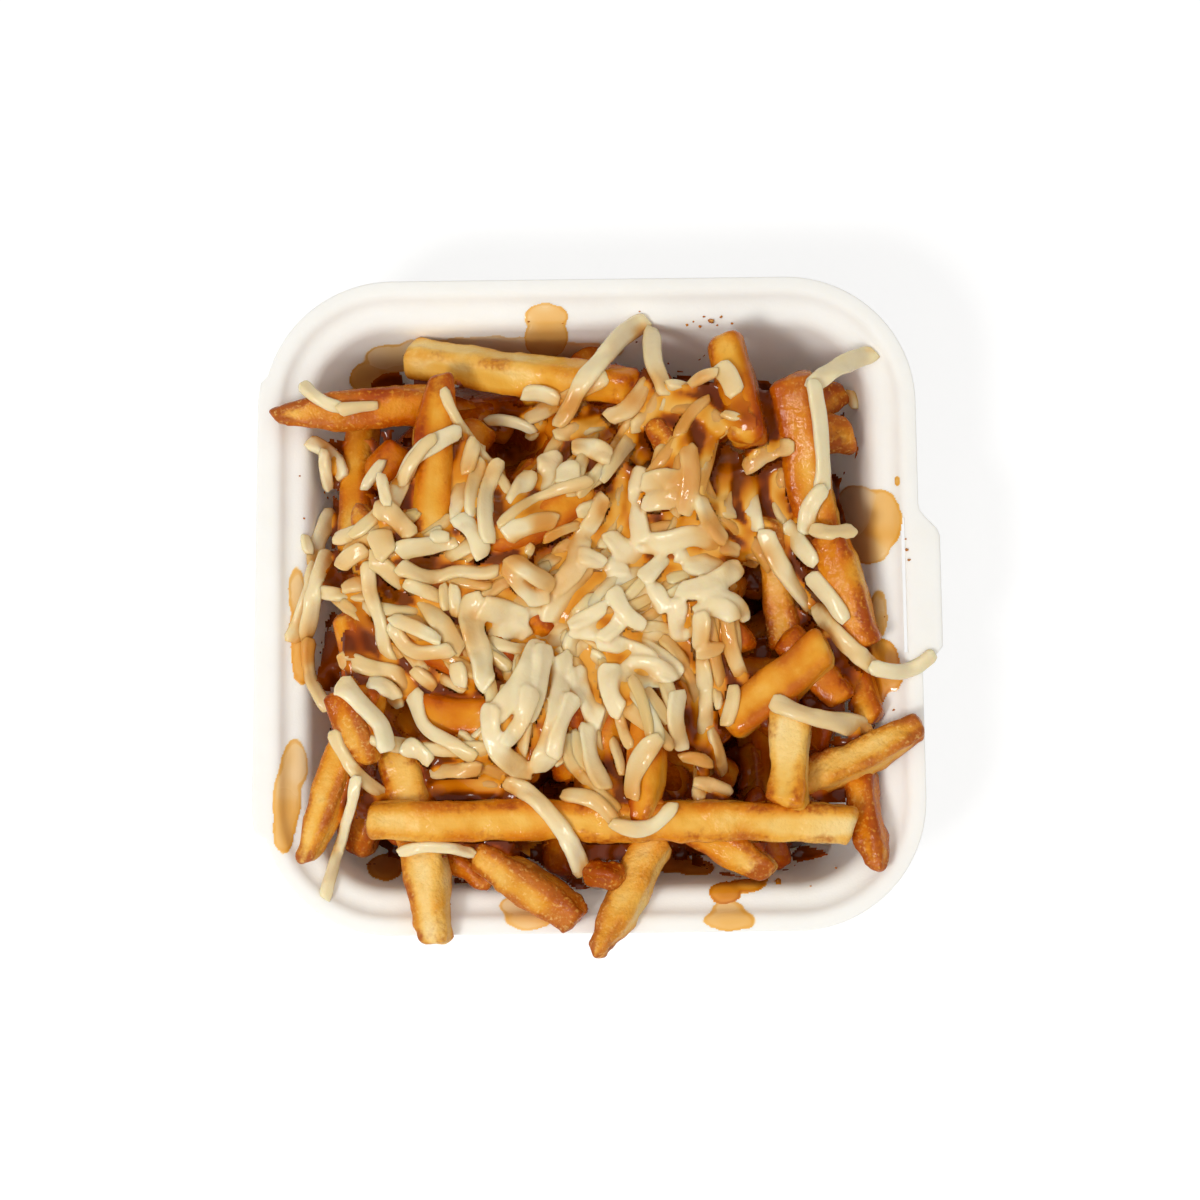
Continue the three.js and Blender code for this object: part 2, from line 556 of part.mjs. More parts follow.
// ---------------------------------------------------------------- core and pool
// The core: its lumpy top over a flat foot, cut off just over the gravy. Where a hollow dips
// lower than that, it leaves a hole through which the gravy shows.
function core() {
  const shares = [0.99, 1, 0.97, 0.9, 0.78, 0.6, 0.38, 0.15];
  const skin = loft(shares.map((share, index) => Array.from({ length: CORE_SPOKES }, (_, spoke) => {
    const angle = spoke / CORE_SPOKES * 2 * Math.PI;
    const [c, s] = [Math.cos(angle), Math.sin(angle)];
    const far = HEAP_HALF / (Math.abs(c) ** HEAP_SQUARENESS + Math.abs(s) ** HEAP_SQUARENESS)
      ** (1 / HEAP_SQUARENESS) * share;
    return [far * c, far * s, index === 0 ? 0 : coreHeight(far * c, far * s)];
  })));
  const foot = new THREE.BoxGeometry(2 * RIM_HALF, 2 * RIM_HALF, 2 * (POOL_TOP + GAP));
  return skin.subtract(fromGeometry(foot));
}

// The gravy that has run down to the floor: a thin pool that follows the walls.
function pool() {
  const [[highInset, highZ], [lowInset, lowZ]] = [UPPER_FACE.at(-2), UPPER_FACE.at(-1)];
  const wallSlope = (UPPER_FACE.at(-3)[0] - highInset) / (UPPER_FACE.at(-3)[1] - highZ);
  const atTop = highInset + (POOL_TOP - highZ) * wallSlope + 1.2 * GAP;
  return loft([trayRing(lowInset + GAP, lowZ + GAP), trayRing(highInset + 1.3 * GAP, highZ + GAP),
    trayRing(atTop, POOL_TOP)]);
}

// ---------------------------------------------------------------- laying it all
const underFries = Array.from({ length: UNDER_FRIES }, (_, i) => fry(underFry(i), UNDER_SINK, false));
const topFries = FRIES.map((row, index) => fry(row, SINK, index >= PLAIN_FRIES));
const heapPieces = [core(), ...underFries, ...topFries];

const places = sheetPlaces();
for (const { ring, point } of places) {
  const centre = new THREE.Vector3(SHEET.x, SHEET.y, point.z);
  raise([point, point.clone().lerp(centre, 1 / ring)], shredSection(SHEET.reachX / 4, 0));
}
const meltedRoutes = MELTED_SHREDS.map((row) => {
  const route = drape(row, SHRED_THICK * 0.3 - SHRED_SINK);
  raise(route, shredSection(row[5], 0));
  return { route, wide: row[5] };
});
const looseShreds = LOOSE_SHREDS.map((row) => {
  const route = drape(row, SHRED_THICK * 0.3 - SHRED_SINK);
  raise(route, shredSection(row[5], 0));
  return shred(route, row[5], 0);
});

const cheeseWith = (grow) => joined([meltedSheet(places, grow),
  ...meltedRoutes.map(({ route, wide }) => shred(route, wide, grow))]);
const cheeseSolid = largest(cheeseWith(0).subtract(trayWithRoom(GAP)));
const friesSolid = largest(joined([...heapPieces, ...looseShreds])
  .subtract(cheeseWith(GAP)).subtract(trayWithRoom(GAP)));

// ---------------------------------------------------------------- scene graph
function meshOf(name, solid, color, roughness) {
  const { vertProperties, triVerts } = solid.getMesh();
  const geometry = new THREE.BufferGeometry();
  geometry.setAttribute('position', new THREE.BufferAttribute(vertProperties, 3));
  geometry.setIndex(new THREE.BufferAttribute(triVerts, 1));
  const mesh = new THREE.Mesh(geometry, new THREE.MeshStandardMaterial({ color, roughness, metalness: 0 }));
  mesh.name = name;
  return mesh;
}

const meal = new THREE.Group();
meal.add(
  meshOf('tray', tray(), 0xf4f1ea, 0.75),
  meshOf('gravy', pool(), 0x7a3a0c, 0.2),
  meshOf('fries', friesSolid, 0xd9932f, 0.55),
  meshOf('cheese', cheeseSolid, 0xebdfb8, 0.35),
);

export default meal;
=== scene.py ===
"""Loaded fries in a takeaway tray: what the eye sees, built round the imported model.

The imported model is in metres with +Z up and its origin under the middle of the tray. The making
below works in millimetres in that same frame. Fries and shreds of cheese are given by where they
look to be in the rim's plane from the eye point, and each is laid on whatever lies under it.
"""
import math

import bpy
import numpy as np
from mathutils import Matrix, Vector
from mathutils.bvhtree import BVHTree


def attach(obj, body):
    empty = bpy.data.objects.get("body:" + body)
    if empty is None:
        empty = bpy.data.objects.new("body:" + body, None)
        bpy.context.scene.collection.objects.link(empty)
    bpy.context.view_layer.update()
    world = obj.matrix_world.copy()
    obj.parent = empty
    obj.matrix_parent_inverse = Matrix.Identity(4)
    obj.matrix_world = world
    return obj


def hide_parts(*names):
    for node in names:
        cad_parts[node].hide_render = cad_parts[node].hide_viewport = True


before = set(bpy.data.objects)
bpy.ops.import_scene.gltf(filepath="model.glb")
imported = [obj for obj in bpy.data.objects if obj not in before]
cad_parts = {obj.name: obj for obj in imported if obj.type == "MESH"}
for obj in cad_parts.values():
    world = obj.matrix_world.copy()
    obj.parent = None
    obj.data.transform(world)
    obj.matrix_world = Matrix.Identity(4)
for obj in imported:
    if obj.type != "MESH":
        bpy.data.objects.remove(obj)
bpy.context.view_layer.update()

# ---------------------------------------------------------------- tray
# The base of a square clamshell, pressed from white fibre pulp: a flat flange that steps down to
# a ledge, sloping walls, and everywhere soft bends. Its latch tab has a slit; a torn hinge strip
# runs along the other side.
MM = 0.001
RIM_HALF, RIM_RADIUS, RIM_HEIGHT = 76.0, 30.0, 44.0
# The two faces in section: distance in from the flange's edge, height.
UPPER_FACE = [(0, 44), (3.5, 44), (5.5, 41.5), (9.2, 40.6), (10.8, 38.6), (19.2, 3.6), (21.6, 1.1)]
UNDER_FACE = [(0, 42.9), (3.1, 42.9), (5, 40.5), (8.6, 39.6), (9.9, 38), (18.2, 3), (21, 0)]
UPPER_BEND, UNDER_BEND, EDGE_BEND, EDGE_IN, BEND_STEPS = 1.6, 1.2, 0.5, 1.2, 5
CORNER_POINTS, SIDE_POINTS = 25, 62
TAB_OUT, TAB_TOP, TAB_LOW = 4.8, (21.4, 14.3), (-17.0, -11.0)
HINGE_TOP, HINGE_LOW, HINGE_NOTCH, HINGE_OUT_TOP, HINGE_OUT_LOW = 54.0, -55.0, 2.0, 1.2, 2.4
STRETCH = 3.4                     # how much of the flange is drawn out into tab and hinge strip
SLIT_X, SLIT_TOP, SLIT_LOW, SLIT_WIDE, SLIT_HEIGHTS = 72.3, 18.7, -12.7, 0.8, (38, 46)
SHARP_BEND = 50                   # degrees


def set_values(made, **values):
    """Gives a piece one number for each of its points under each name."""
    for key, each in values.items():
        if key not in made.data.attributes:
            made.data.attributes.new(key, "FLOAT", "POINT")
        made.data.attributes[key].data.foreach_set("value", np.asarray(each, np.float32))
    made.data.update()


def piece(name, points, faces, material, slot, **values):
    """A smooth mesh from points in millimetres, with one value for each point under each name."""
    mesh = bpy.data.meshes.new(name)
    mesh.from_pydata((points * MM).tolist(), [], faces)
    mesh.polygons.foreach_set("use_smooth", [True] * len(mesh.polygons))
    mesh.materials.append(material)
    made = bpy.data.objects.new(name, mesh)
    set_values(made, **values)
    bpy.context.scene.collection.objects.link(made)
    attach(made, "root")
    return made


def skin(count, around):
    """Faces of a closed tube whose points lie ring after ring in one list: point i of ring j joins
    point i + 1 and the same two of ring j + 1, and each end ring is a face."""
    row, step = np.meshgrid(np.arange(count - 1), np.arange(around), indexing="ij")
    a = (row * around + step).ravel()
    b = (row * around + (step + 1) % around).ravel()
    last = (count - 1) * around
    return (np.stack([a, b, b + around, a + around], 1).tolist()
            + [list(range(around))[::-1], list(range(last, last + around))])


def smoothstep(low, high, value):
    """0 below low, 1 above high, and 3 s^2 - 2 s^3 between, with s the share of the way."""
    share = np.clip((value - low) / (high - low), 0, 1)
    return share * share * (3 - 2 * share)


def bent(profile, radius):
    """A section's line with each inner corner rounded off by (1 - t)^2 start + 2 t (1 - t) corner
    + t^2 end, from a radius before the corner to a radius after it."""
    points = [np.array(p, float) for p in profile]
    out = [points[0]]
    for before, corner, after in zip(points, points[1:], points[2:]):
        start, end = [corner + (other - corner) / np.linalg.norm(other - corner)
                      * min(radius, np.linalg.norm(other - corner) * 0.45) for other in (before, after)]
        out += [(1 - t) ** 2 * start + 2 * t * (1 - t) * corner + t ** 2 * end
                for t in np.linspace(0, 1, BEND_STEPS)]
    return np.array(out + [points[-1]])


def rim_outline():
    """Points round the flange's edge, and the outward direction at each: quarter circles, corner
    centre + radius * direction, joined by straight sides."""
    straight = RIM_HALF - RIM_RADIUS
    points, normals = [], []
    for quarter, corner in enumerate([(1, 1), (-1, 1), (-1, -1), (1, -1)]):
        for angle in quarter * math.pi / 2 + np.linspace(0, math.pi / 2, CORNER_POINTS):
            way = np.array([math.cos(angle), math.sin(angle)])
            points.append(straight * np.array(corner) + RIM_RADIUS * way)
            normals.append(way)
        end, way = points[-1], normals[-1]
        for far in np.linspace(0, 2 * straight, SIDE_POINTS)[1:-1]:
            points.append(end + np.array([-way[1], way[0]]) * far)
            normals.append(way)
    return np.array(points), np.array(normals)


edge_points, edge_normals = rim_outline()


def flange_reach():
    """How far tab and hinge strip stick out at each point of the edge: the tab rises and falls by
    smooth steps, and the strip widens evenly between its two notches."""
    x, y = edge_points.T
    tab = TAB_OUT * smoothstep(*TAB_LOW, y) * (1 - smoothstep(*TAB_TOP[::-1], y))
    share = np.clip((HINGE_TOP - y) / (HINGE_TOP - HINGE_LOW), 0, 1)
    notched = np.clip((HINGE_TOP - y) / HINGE_NOTCH, 0, 1) * np.clip((y - HINGE_LOW) / HINGE_NOTCH, 0, 1)
    hinge = (HINGE_OUT_TOP + (HINGE_OUT_LOW - HINGE_OUT_TOP) * share) * notched
    return np.where(x > RIM_HALF - 1, tab, 0) + np.where(x < 1 - RIM_HALF, hinge, 0)


UNDER_RIM = UNDER_FACE[0][1]
upper = bent(UPPER_FACE[::-1], UPPER_BEND)[:-1]
rounded_edge = bent([(EDGE_IN, RIM_HEIGHT), (0, RIM_HEIGHT), (0, UNDER_RIM), (EDGE_IN, UNDER_RIM)], EDGE_BEND)
under = bent([(EDGE_IN, UNDER_RIM)] + UNDER_FACE[1:], UNDER_BEND)[1:]
tray_rings = []
for inset, z in np.vstack([upper, rounded_edge, under]):
    stuck_out = flange_reach() * np.clip(1 - inset / STRETCH, 0, 1) * (z > UNDER_RIM - 0.3)
    flat = edge_points - edge_normals * (inset - stuck_out)[:, None]
    tray_rings.append(np.column_stack([flat, np.full(len(flat), z)]))
bottoms = [[ring * (share, share, 1) for share in (0.02, 0.5)] for ring in (tray_rings[0], tray_rings[-1])]
tray_rings = bottoms[0] + tray_rings + bottoms[1][::-1]
tray_points = np.vstack(tray_rings)
tray_faces = [face[::-1] for face in skin(len(tray_rings), len(edge_points))]


def shader(name, **plain):
    """A new material, its node tree and its Principled shader, with what is the same all over it."""
    material = bpy.data.materials.new(name)
    material.use_nodes = True
    principled = material.node_tree.nodes["Principled BSDF"]
    for key, value in plain.items():
        principled.inputs[key.replace("_", " ")].default_value = value
    return material, material.node_tree, principled


def wire(tree, principled, **sockets):
    """Feeds the shader with what changes over the surface."""
    for key, socket in sockets.items():
        tree.links.new(socket, principled.inputs[key.replace("_", " ")])


def add(tree, kind, inputs=None, **settings):
    """A node with its settings, and its inputs either fixed or linked."""
    made = tree.nodes.new(kind)
    for key, value in settings.items():
        setattr(made, key, value)
    for key, value in (inputs or {}).items():
        if isinstance(value, bpy.types.NodeSocket):
            tree.links.new(value, made.inputs[key])
        else:
            made.inputs[key].default_value = value
    return made


def grain(tree, size_mm, detail=2.0):
    """A noise socket whose features are about so many millimetres wide."""
    place = add(tree, "ShaderNodeTexCoord").outputs["Object"]
    return add(tree, "ShaderNodeTexNoise", {"Vector": place, "Scale": 1 / MM / size_mm, "Detail": detail}).outputs["Fac"]


def bump(tree, height, distance, strength, under=None):
    """The normal of a relief: its height times so many metres, over another relief or none."""
    inputs = {"Height": height, "Distance": distance, "Strength": strength, **({"Normal": under} if under else {})}
    return add(tree, "ShaderNodeBump", inputs).outputs["Normal"]


def mix(tree, share, a, b, blend="MIX"):
    """A colour (1 - share) a + share b, or a times b where they multiply."""
    return add(tree, "ShaderNodeMix", {0: share, 6: a, 7: b}, data_type="RGBA", blend_type=blend).outputs[2]


def srgb(red, green, blue):
    """A colour as read off a picture, 0 to 255, made linear: ((v + 0.055) / 1.055)^2.4."""
    return tuple(((v / 255 + 0.055) / 1.055) ** 2.4 if v > 10 else v / 255 / 12.92 for v in (red, green, blue)) + (1.0,)


fibre, tree, principled = shader(
    "moulded_fibre", Roughness=0.72, Specular_IOR_Level=0.3,
    Subsurface_Weight=0.3, Subsurface_Radius=(1.0, 0.9, 0.75), Subsurface_Scale=0.003)
wire(tree, principled,
     Base_Color=mix(tree, grain(tree, 9, 4.0), srgb(250, 249, 244), srgb(243, 241, 234)),
     Normal=bump(tree, grain(tree, 0.5, 3.0), 0.0001, 0.3, bump(tree, grain(tree, 5, 3.0), 0.0004, 0.25)))

tray = piece("tray_pulp", tray_points, tray_faces, fibre, "moulded_fibre")
cutter = bpy.data.meshes.new("slit")
corners = [(SLIT_X + SLIT_WIDE / 2 * i, y, z) for i in (-1, 1) for y in (SLIT_LOW, SLIT_TOP) for z in SLIT_HEIGHTS]
cutter.from_pydata([[v * MM for v in c] for c in corners], [], [
    (0, 1, 3, 2), (4, 6, 7, 5), (0, 4, 5, 1), (2, 3, 7, 6), (0, 2, 6, 4), (1, 5, 7, 3)])
cut_object = bpy.data.objects.new("slit", cutter)
bpy.context.scene.collection.objects.link(cut_object)
slit = tray.modifiers.new("slit", "BOOLEAN")
slit.object, slit.operation, slit.solver = cut_object, "DIFFERENCE", "EXACT"
with bpy.context.temp_override(object=tray, active_object=tray):
    bpy.ops.object.modifier_apply(modifier="slit")
bpy.data.objects.remove(cut_object)
tray.data.set_sharp_from_angle(angle=math.radians(SHARP_BEND))
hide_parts("tray")

# ---------------------------------------------------------------- fries
# Thick-cut fries with the skin off, square bars with worn corners. Their faces are pale to golden,
# their corners and tips brown and rough; most are smeared with gravy. Each lies like a beam on what
# is under it, and the heap packs itself closer towards its crown.
EYE = np.array([2.0, -62.0, 590.0])
GAP, SINK, FLOOR_ROOM, POOL_TOP = 0.3, 2.4, 4.0, 6.5
HEAP_HALF, HEAP_PEAK, HEAP_SQUARENESS = 61.0, 46.0, 5
CROWN, CROWN_EDGE, PACKING, STEEPEST = 60.0, 52.0, 0.5, 0.3
# Hollows in the heap: x, y, radius, depth.
HOLLOWS = [(-20, 38, 7, 22), (-12, -5, 6, 18), (38, 3, 6, 46), (39, -9, 6, 40), (36, -37, 8, 50),
           (-9, -43, 7, 20), (-57, -8, 7, 10), (4, -58, 9, 16), (-52, 53, 10, 40), (61, 31, 10, 50),
           (22, 59, 9, 40), (22, -60, 9, 30), (-20, -58, 8, 20)]
FIELD_HALF, FIELD_STEP = 86, 0.5


def inset_at(x, y):
    """Distance in from the flange's edge: the corner's radius less the distance from its centre."""
    dx, dy = np.abs(x) - (RIM_HALF - RIM_RADIUS), np.abs(y) - (RIM_HALF - RIM_RADIUS)
    return RIM_RADIUS - np.hypot(np.maximum(dx, 0), np.maximum(dy, 0)) - np.minimum(np.maximum(dx, dy), 0)


def tray_height(x, y):
    """The tray's upper face: its section's line at that distance in from the edge."""
    return np.interp(inset_at(x, y), *np.array(UPPER_FACE, float).T)


def heap_spread(x, y):
    """(|x / half|^5 + |y / half|^5)^(1/5): 0 in the heap's middle, 1 at the core's edge and beyond."""
    return np.minimum(1, (np.abs(x / HEAP_HALF) ** HEAP_SQUARENESS
                          + np.abs(y / HEAP_HALF) ** HEAP_SQUARENESS) ** (1 / HEAP_SQUARENESS))


def bell(x, y, at_x, at_y, radius):
    """1 at a place and less round it: e^-(distance / radius)^2."""
    return np.exp(-((x - at_x) ** 2 + (y - at_y) ** 2) / radius ** 2)


def core_height(x, y):
    """The heap's core: a dome, peak * sqrt(1 - spread^5), less its hollows, and gently rippled."""
    spread = heap_spread(x, y)
    z = POOL_TOP + (HEAP_PEAK - POOL_TOP) * np.sqrt(1 - spread ** 5)
    for hx, hy, radius, depth in HOLLOWS:
        z = z - depth * bell(x, y, hx, hy, radius)
    z = z + 1.5 * np.sin(x / 6.1) * np.cos(y / 5.3)
    return np.where(spread >= 1, FLOOR_ROOM, np.maximum(z, FLOOR_ROOM))


cells = np.arange(-FIELD_HALF, FIELD_HALF + 1)
field_x, field_y = np.meshgrid(cells, cells)
top_heights = np.maximum(tray_height(field_x, field_y) + SINK + GAP, core_height(field_x, field_y))


def read_grid(grid, x, y, step=1.0):
    """A grid's height between its cells: the four round a place, each by its nearness."""
    column = np.clip((np.asarray(x, float) + FIELD_HALF) / step, 0, grid.shape[1] - 2)
    row = np.clip((np.asarray(y, float) + FIELD_HALF) / step, 0, grid.shape[0] - 2)
    c, r = np.floor(column).astype(int), np.floor(row).astype(int)
    u, v = column - c, row - r
    return ((grid[r, c] * (1 - u) + grid[r, c + 1] * u) * (1 - v)
            + (grid[r + 1, c] * (1 - u) + grid[r + 1, c + 1] * u) * v)


def seen_from(x, y, z):
    """The place at height z that looks to be at x, y in the rim's plane: on the line from the eye,
    at (eye - z) / (eye - rim) of the way down."""
    share = (EYE[2] - z) / (EYE[2] - RIM_HEIGHT)
    return np.array([EYE[0] + (x - EYE[0]) * share, EYE[1] + (y - EYE[1]) * share, z])


def section_top(corners, out):
    """The highest point of a section at a distance out: each side's straight line is read there."""
    top = -math.inf
    for (a, b), (a2, b2) in zip(corners, corners[1:] + corners[:1]):
        if (a - out) * (a2 - out) <= 0 and a != a2:
            top = max(top, b + (b2 - b) * (out - a) / (a2 - a))
    return top


def raise_heights(start, end, corners, size_at):
    """Adds a bar to the heights: height of its line + top of its section * its size there."""
    wide = max(abs(a) for a, _ in corners)
    outs = np.arange(-wide, wide + 1e-9, FIELD_STEP)
    tops = np.array([section_top(corners, out) for out in outs])
    steps = math.ceil(np.linalg.norm(end - start) / FIELD_STEP)
    share = np.linspace(0, 1, steps + 1)[:, None]
    line = start + (end - start) * share
    along = (end - start) / np.linalg.norm(end - start)
    size = size_at(share)
    x = np.rint(line[:, :1] - along[1] * outs * size).astype(int) + FIELD_HALF
    y = np.rint(line[:, 1:2] + along[0] * outs * size).astype(int) + FIELD_HALF
    np.maximum.at(top_heights, (y, x), line[:, 2:] + tops * size)


def packed(place, z, half):
    """A height with what stands above the crown, edge + (crown - edge)(1 - spread^2), pressed down
    by the share of packing."""
    crown = CROWN_EDGE + (CROWN - CROWN_EDGE) * (1 - heap_spread(place[0], place[1]) ** 2)
    return z - max(0.0, z + half - crown) * (1 - PACKING)


def rest_like_beam(start, end, half, reach, sink):
    """Heights of both ends of a bar in the tilt that brings its middle lowest: for each tilt the
    middle is the most of support - rise * (share - 1/2), and the tilt with the least is taken."""
    length = np.linalg.norm(end - start)
    side = np.array([start[1] - end[1], end[0] - start[0]]) / np.hypot(*(end - start)[:2])
    share = np.linspace(0, 1, math.ceil(length / 1.5) + 1)[:, None]
    spot = start[:2] + (end - start)[:2] * share
    below = [read_grid(top_heights, *(spot + side * out * half).T) for out in (-0.5, 0, 0.5)]
    support = np.max(below, axis=0) + reach - sink
    rises = np.arange(-STEEPEST * length, STEEPEST * length + 1e-9, 0.25)
    middles = np.max(support[None, :] - rises[:, None] * (share[:, 0] - 0.5)[None, :], axis=1)
    best = np.argmin(middles)
    return (packed(start, middles[best] - rises[best] / 2, reach),
            packed(end, middles[best] + rises[best] / 2, reach))


class Draws:
    """The same random draws as the solids take: each is the last * 16807, modulo 2^31 - 1."""
    seed = 20

    def __call__(self, count=1):
        out = []
        for _ in range(count):
            self.seed = self.seed * 16807 % 2147483647
            out.append(self.seed / 2147483647)
        return np.array(out) if count > 1 else out[0]


draw = Draws()
# Each row: ends x, y, x, y; width; roll; share of width left at both tips; tone at both ends
# (0 pale, 1 deep gold); browning at both tips; gravy at the start, middle and end; roughness.
FRIES = [
    (-53, 43, -54.5, 10, 8, 20, 1, 1, .7, .6, .4, .3, .6, .7, .8, .5),
    (-51.5, 29, -43, 36, 8, 10, 1, 1, .7, .7, .4, .4, 1, 1.1, 1.2, .5),
    (-52, 16, -50, -4, 8.5, 10, 1, 1, .6, .6, .3, .3, .9, 1, 1.2, .4),
    (-56, -2, -53, -22, 8, 30, 1, 1, .7, .7, .4, .4, 1.6, 1.8, 1.6, .4),
    (-52, -41, -54, -57.5, 8, 15, 1, .7, .8, .9, .4, .9, .7, .6, .6, .7),
    (-49, -49.5, -23.5, -64, 6.5, 25, .7, .6, .9, .9, .8, .9, .7, .6, .5, .9),
    (-8, -46, -8, -63.5, 8, 20, 1, 1, .8, .8, .5, .6, 1.4, 1.3, 1.1, .4),
    (36, -44, 42.8, -61.5, 5.5, 10, 1, 1, .9, .9, .8, .8, 1.2, 1.1, .9, .5),
    (18, -48, 40.5, -63, 8.5, 25, 1, .6, .3, .3, .2, .9, .6, .4, .15, .6),
    (53, -26, 49.5, -40, 8, 20, 1, 1, .8, .8, .5, .5, 1, 1, 1, .4),
    (60.5, -41, 64.5, -62.5, 7.5, 30, 1, .5, .8, .8, .5, .9, .5, .5, .3, .9),
    (58, -6, 64, -29, 6.5, 20, 1, 1, .7, .7, .3, .5, .8, .8, .7, .6),
    (48, 43, 59.5, 48.8, 7.5, 25, 1, .6, .7, .8, .3, .9, .5, .4, .2, .9),
    (46, 38, 60, 39, 9.5, 15, 1, 1, .7, .8, .3, .8, .6, .4, .2, .8),
    (6, 50, 33, 39, 8, 15, 1, 1, .6, .6, .3, .3, 1, 1.1, 1.2, .4),
    (-22, 6, -10, -8, 8.5, 20, 1, 1, .6, .6, .5, .4, 1, .9, .9, .5),
    (-24, -8, -16, -22, 8, 20, 1, 1, .6, .6, .3, .4, .9, .9, .9, .4),
    (-45, -8, -28, -14, 8, 15, 1, 1, .6, .6, .3, .4, 1, 1, 1, .4),
    (26, 0, 34.5, -12, 9, 15, 1, 1, .7, .7, .3, .5, .9, 1, 1, .6),
    (-7, -22, -4.5, -41, 8.5, 20, 1, 1, .6, .6, .4, .4, .9, .9, 1, .5),
    (-30, -34, -12, -38, 8, 20, 1, 1, .6, .6, .3, .3, 1, 1, 1, .4),
    (-45, -32, -35.5, -78, 9.6, 12, 1, .7, .1, .45, .1, .35, .5, .1, .0, .5),
    (14.5, -54, 0, -81, 9, 20, 1, .4, .35, .5, .1, .6, .5, .15, .1, .6),
    (-27, -56.5, -3.5, -73.3, 8.8, 20, .7, .7, .7, .8, .5, .6, .4, .15, .8, .9),
    (-3, -62, 6.5, -64, 6, 40, .6, .7, .9, .9, .9, .9, .7, .6, .5, 1),
    (-51, -19, -66, -59.3, 8.6, 25, 1, .55, .6, .45, .3, .6, 1, .3, .15, .6),
    (-58, -20, -51.5, -37, 8.6, 20, 1, .7, .85, .85, .6, .7, .8, .5, .5, .9),
    (-54.5, 22.8, -47.5, 11, 6, 25, .5, 1, .5, .5, .6, .2, .3, .5, .7, .6),
    (-74, 44.6, -32, 45.8, 9.6, 15, .35, 1, .8, .7, 1, .3, .05, .75, 1, .9),
    (-37.5, 14.5, -34.8, 53.8, 9.4, 10, 1, .7, .35, .6, .2, .8, .5, .5, 1.1, .4),
    (-42.5, 57.3, 10.5, 49.8, 8.8, 35, 1, 1, .15, .3, .3, .2, .03, .2, .9, .4),
    (14, 42, 25, 26, 7, 20, .6, 1, .85, .8, 1, .5, .5, .8, 1, 1),
    (31.2, 61.6, 37, 36, 9.2, 15, 1, 1, .5, .5, .4, .2, .15, .8, 1.6, .4),
    (46.5, 52.5, 53.3, 8, 10.8, 12, 1, 1, .6, .5, .5, .2, .35, .4, .6, .5),
    (55.5, 15, 62, -12, 9, 20, 1, 1, .6, .6, .3, .5, .6, .6, .7, .8),
    (40.5, 19, 45, -10.5, 8, 20, 1, 1, .55, .55, .3, .5, .6, .5, .6, .8),
    (44, -8, 57.8, -24.5, 8, 15, 1, 1, .7, .7, .5, .5, .9, .8, .8, .5),
    (75.8, -29.8, 45, -44, 8.3, 20, .7, 1, .6, .35, .9, .2, .25, .05, .2, .7),
    (-51.8, -49.8, 59.5, -51.6, 9.6, 8, 1, 1, .35, .2, .35, .2, .15, .6, .1, .5),
    (-39.5, -25, -17, -26.5, 9.8, 12, 1, 1, .5, .5, .3, .2, 1, .95, .9, .1),
    (-24.5, 12.5, 0, 27, 9, 18, .7, 1, .6, .6, .5, .3, 1, 1, .9, .3),
    (45.2, -26, 43.8, -48.3, 9, 12, 1, 1, .1, .15, .2, .3, .1, .1, .45, .4),
    (13.5, -23, 10.8, -51.3, 9, 20, 1, .55, .6, .6, .3, .4, 1, 1, 1.1, .3),
    (54.5, -10.5, 30.5, -29.5, 10.4, 12, 1, 1, .5, .5, .2, .2, .5, .6, .7, .1),
]
# Gravy that has run down one side of a fry, by its first end: the side's direction, depth, and how
# fast it ends along the fry.
GLAZED = {(-42.5, 57.3): (-90, 0.5, 1.2), (31.2, 61.6): (0, 1.2, 0.6), (46.5, 52.5): (180, 0.7, 1.0),
          (-51.8, -49.8): (90, 0.45, 0.8), (-37.5, 14.5): (180, 0.5, 0.8), (-45, -32): (-90, 0.3, 0.5)}
PLAIN_FRIES, CORNER_LEAN, LONG_FRY, FRY_BOW = 21, 0.62, 40, 0.03
UNDER_FRIES, UNDER_SINK, UNDER_SPREAD = 4, 6.0, 44
UNDER_LOOKS = (0.7, 0.7, 0.5, 0.5, 1.0, 1.1, 1.0, 0.5)
FINE_RINGS, PLAIN_RINGS, FILL_RINGS = (0.85, 32), (1.1, 26), (1.6, 18)    # step along, points round
FILL_FRIES, FILL_SPREAD = 56, 57  # short fries of the layer below, seen only through the gaps
SPIRAL = 2.4                      # turn from one to the next, so that they spread evenly
CORE_AROUND, TIP_BROWN = 120, 11


def lumps(points, size, seed):
    """Smooth noise from -1 to 1: random values on a cubic lattice, blended between the corners of
    a cell by 3 s^2 - 2 s^3 along each side."""
    values = np.random.default_rng(seed).uniform(-1, 1, (32, 32, 32))
    cell = np.floor(points / size).astype(int)
    part = points / size - cell
    part = part * part * (3 - 2 * part)
    total = np.zeros(len(points))
    for corner in np.ndindex(2, 2, 2):
        weight = np.prod(np.where(corner, part, 1 - part), axis=1)
        i, j, k = ((cell + corner) % 32).T
        total += weight * values[i, j, k]
    return total


def tip_size(share, tips):
    """Share of the width along a fry: 1, and over each outer third straight to what is left there."""
    return 1 - np.maximum(0, 1 - 3 * share) * (1 - tips[0]) - np.maximum(0, 3 * share - 2) * (1 - tips[1])


def fry_section(half, turn, worn):
    """Corners of a fry in section, half / cos(lean) out: four, or eight where they are worn."""
    leans = (-CORNER_LEAN, CORNER_LEAN) if worn else (math.pi / 4,)
    return [(half / math.cos(lean) * math.cos(turn + quarter * math.pi / 2 + lean),
             half / math.cos(lean) * math.sin(turn + quarter * math.pi / 2 + lean))
            for quarter in range(4) for lean in leans]


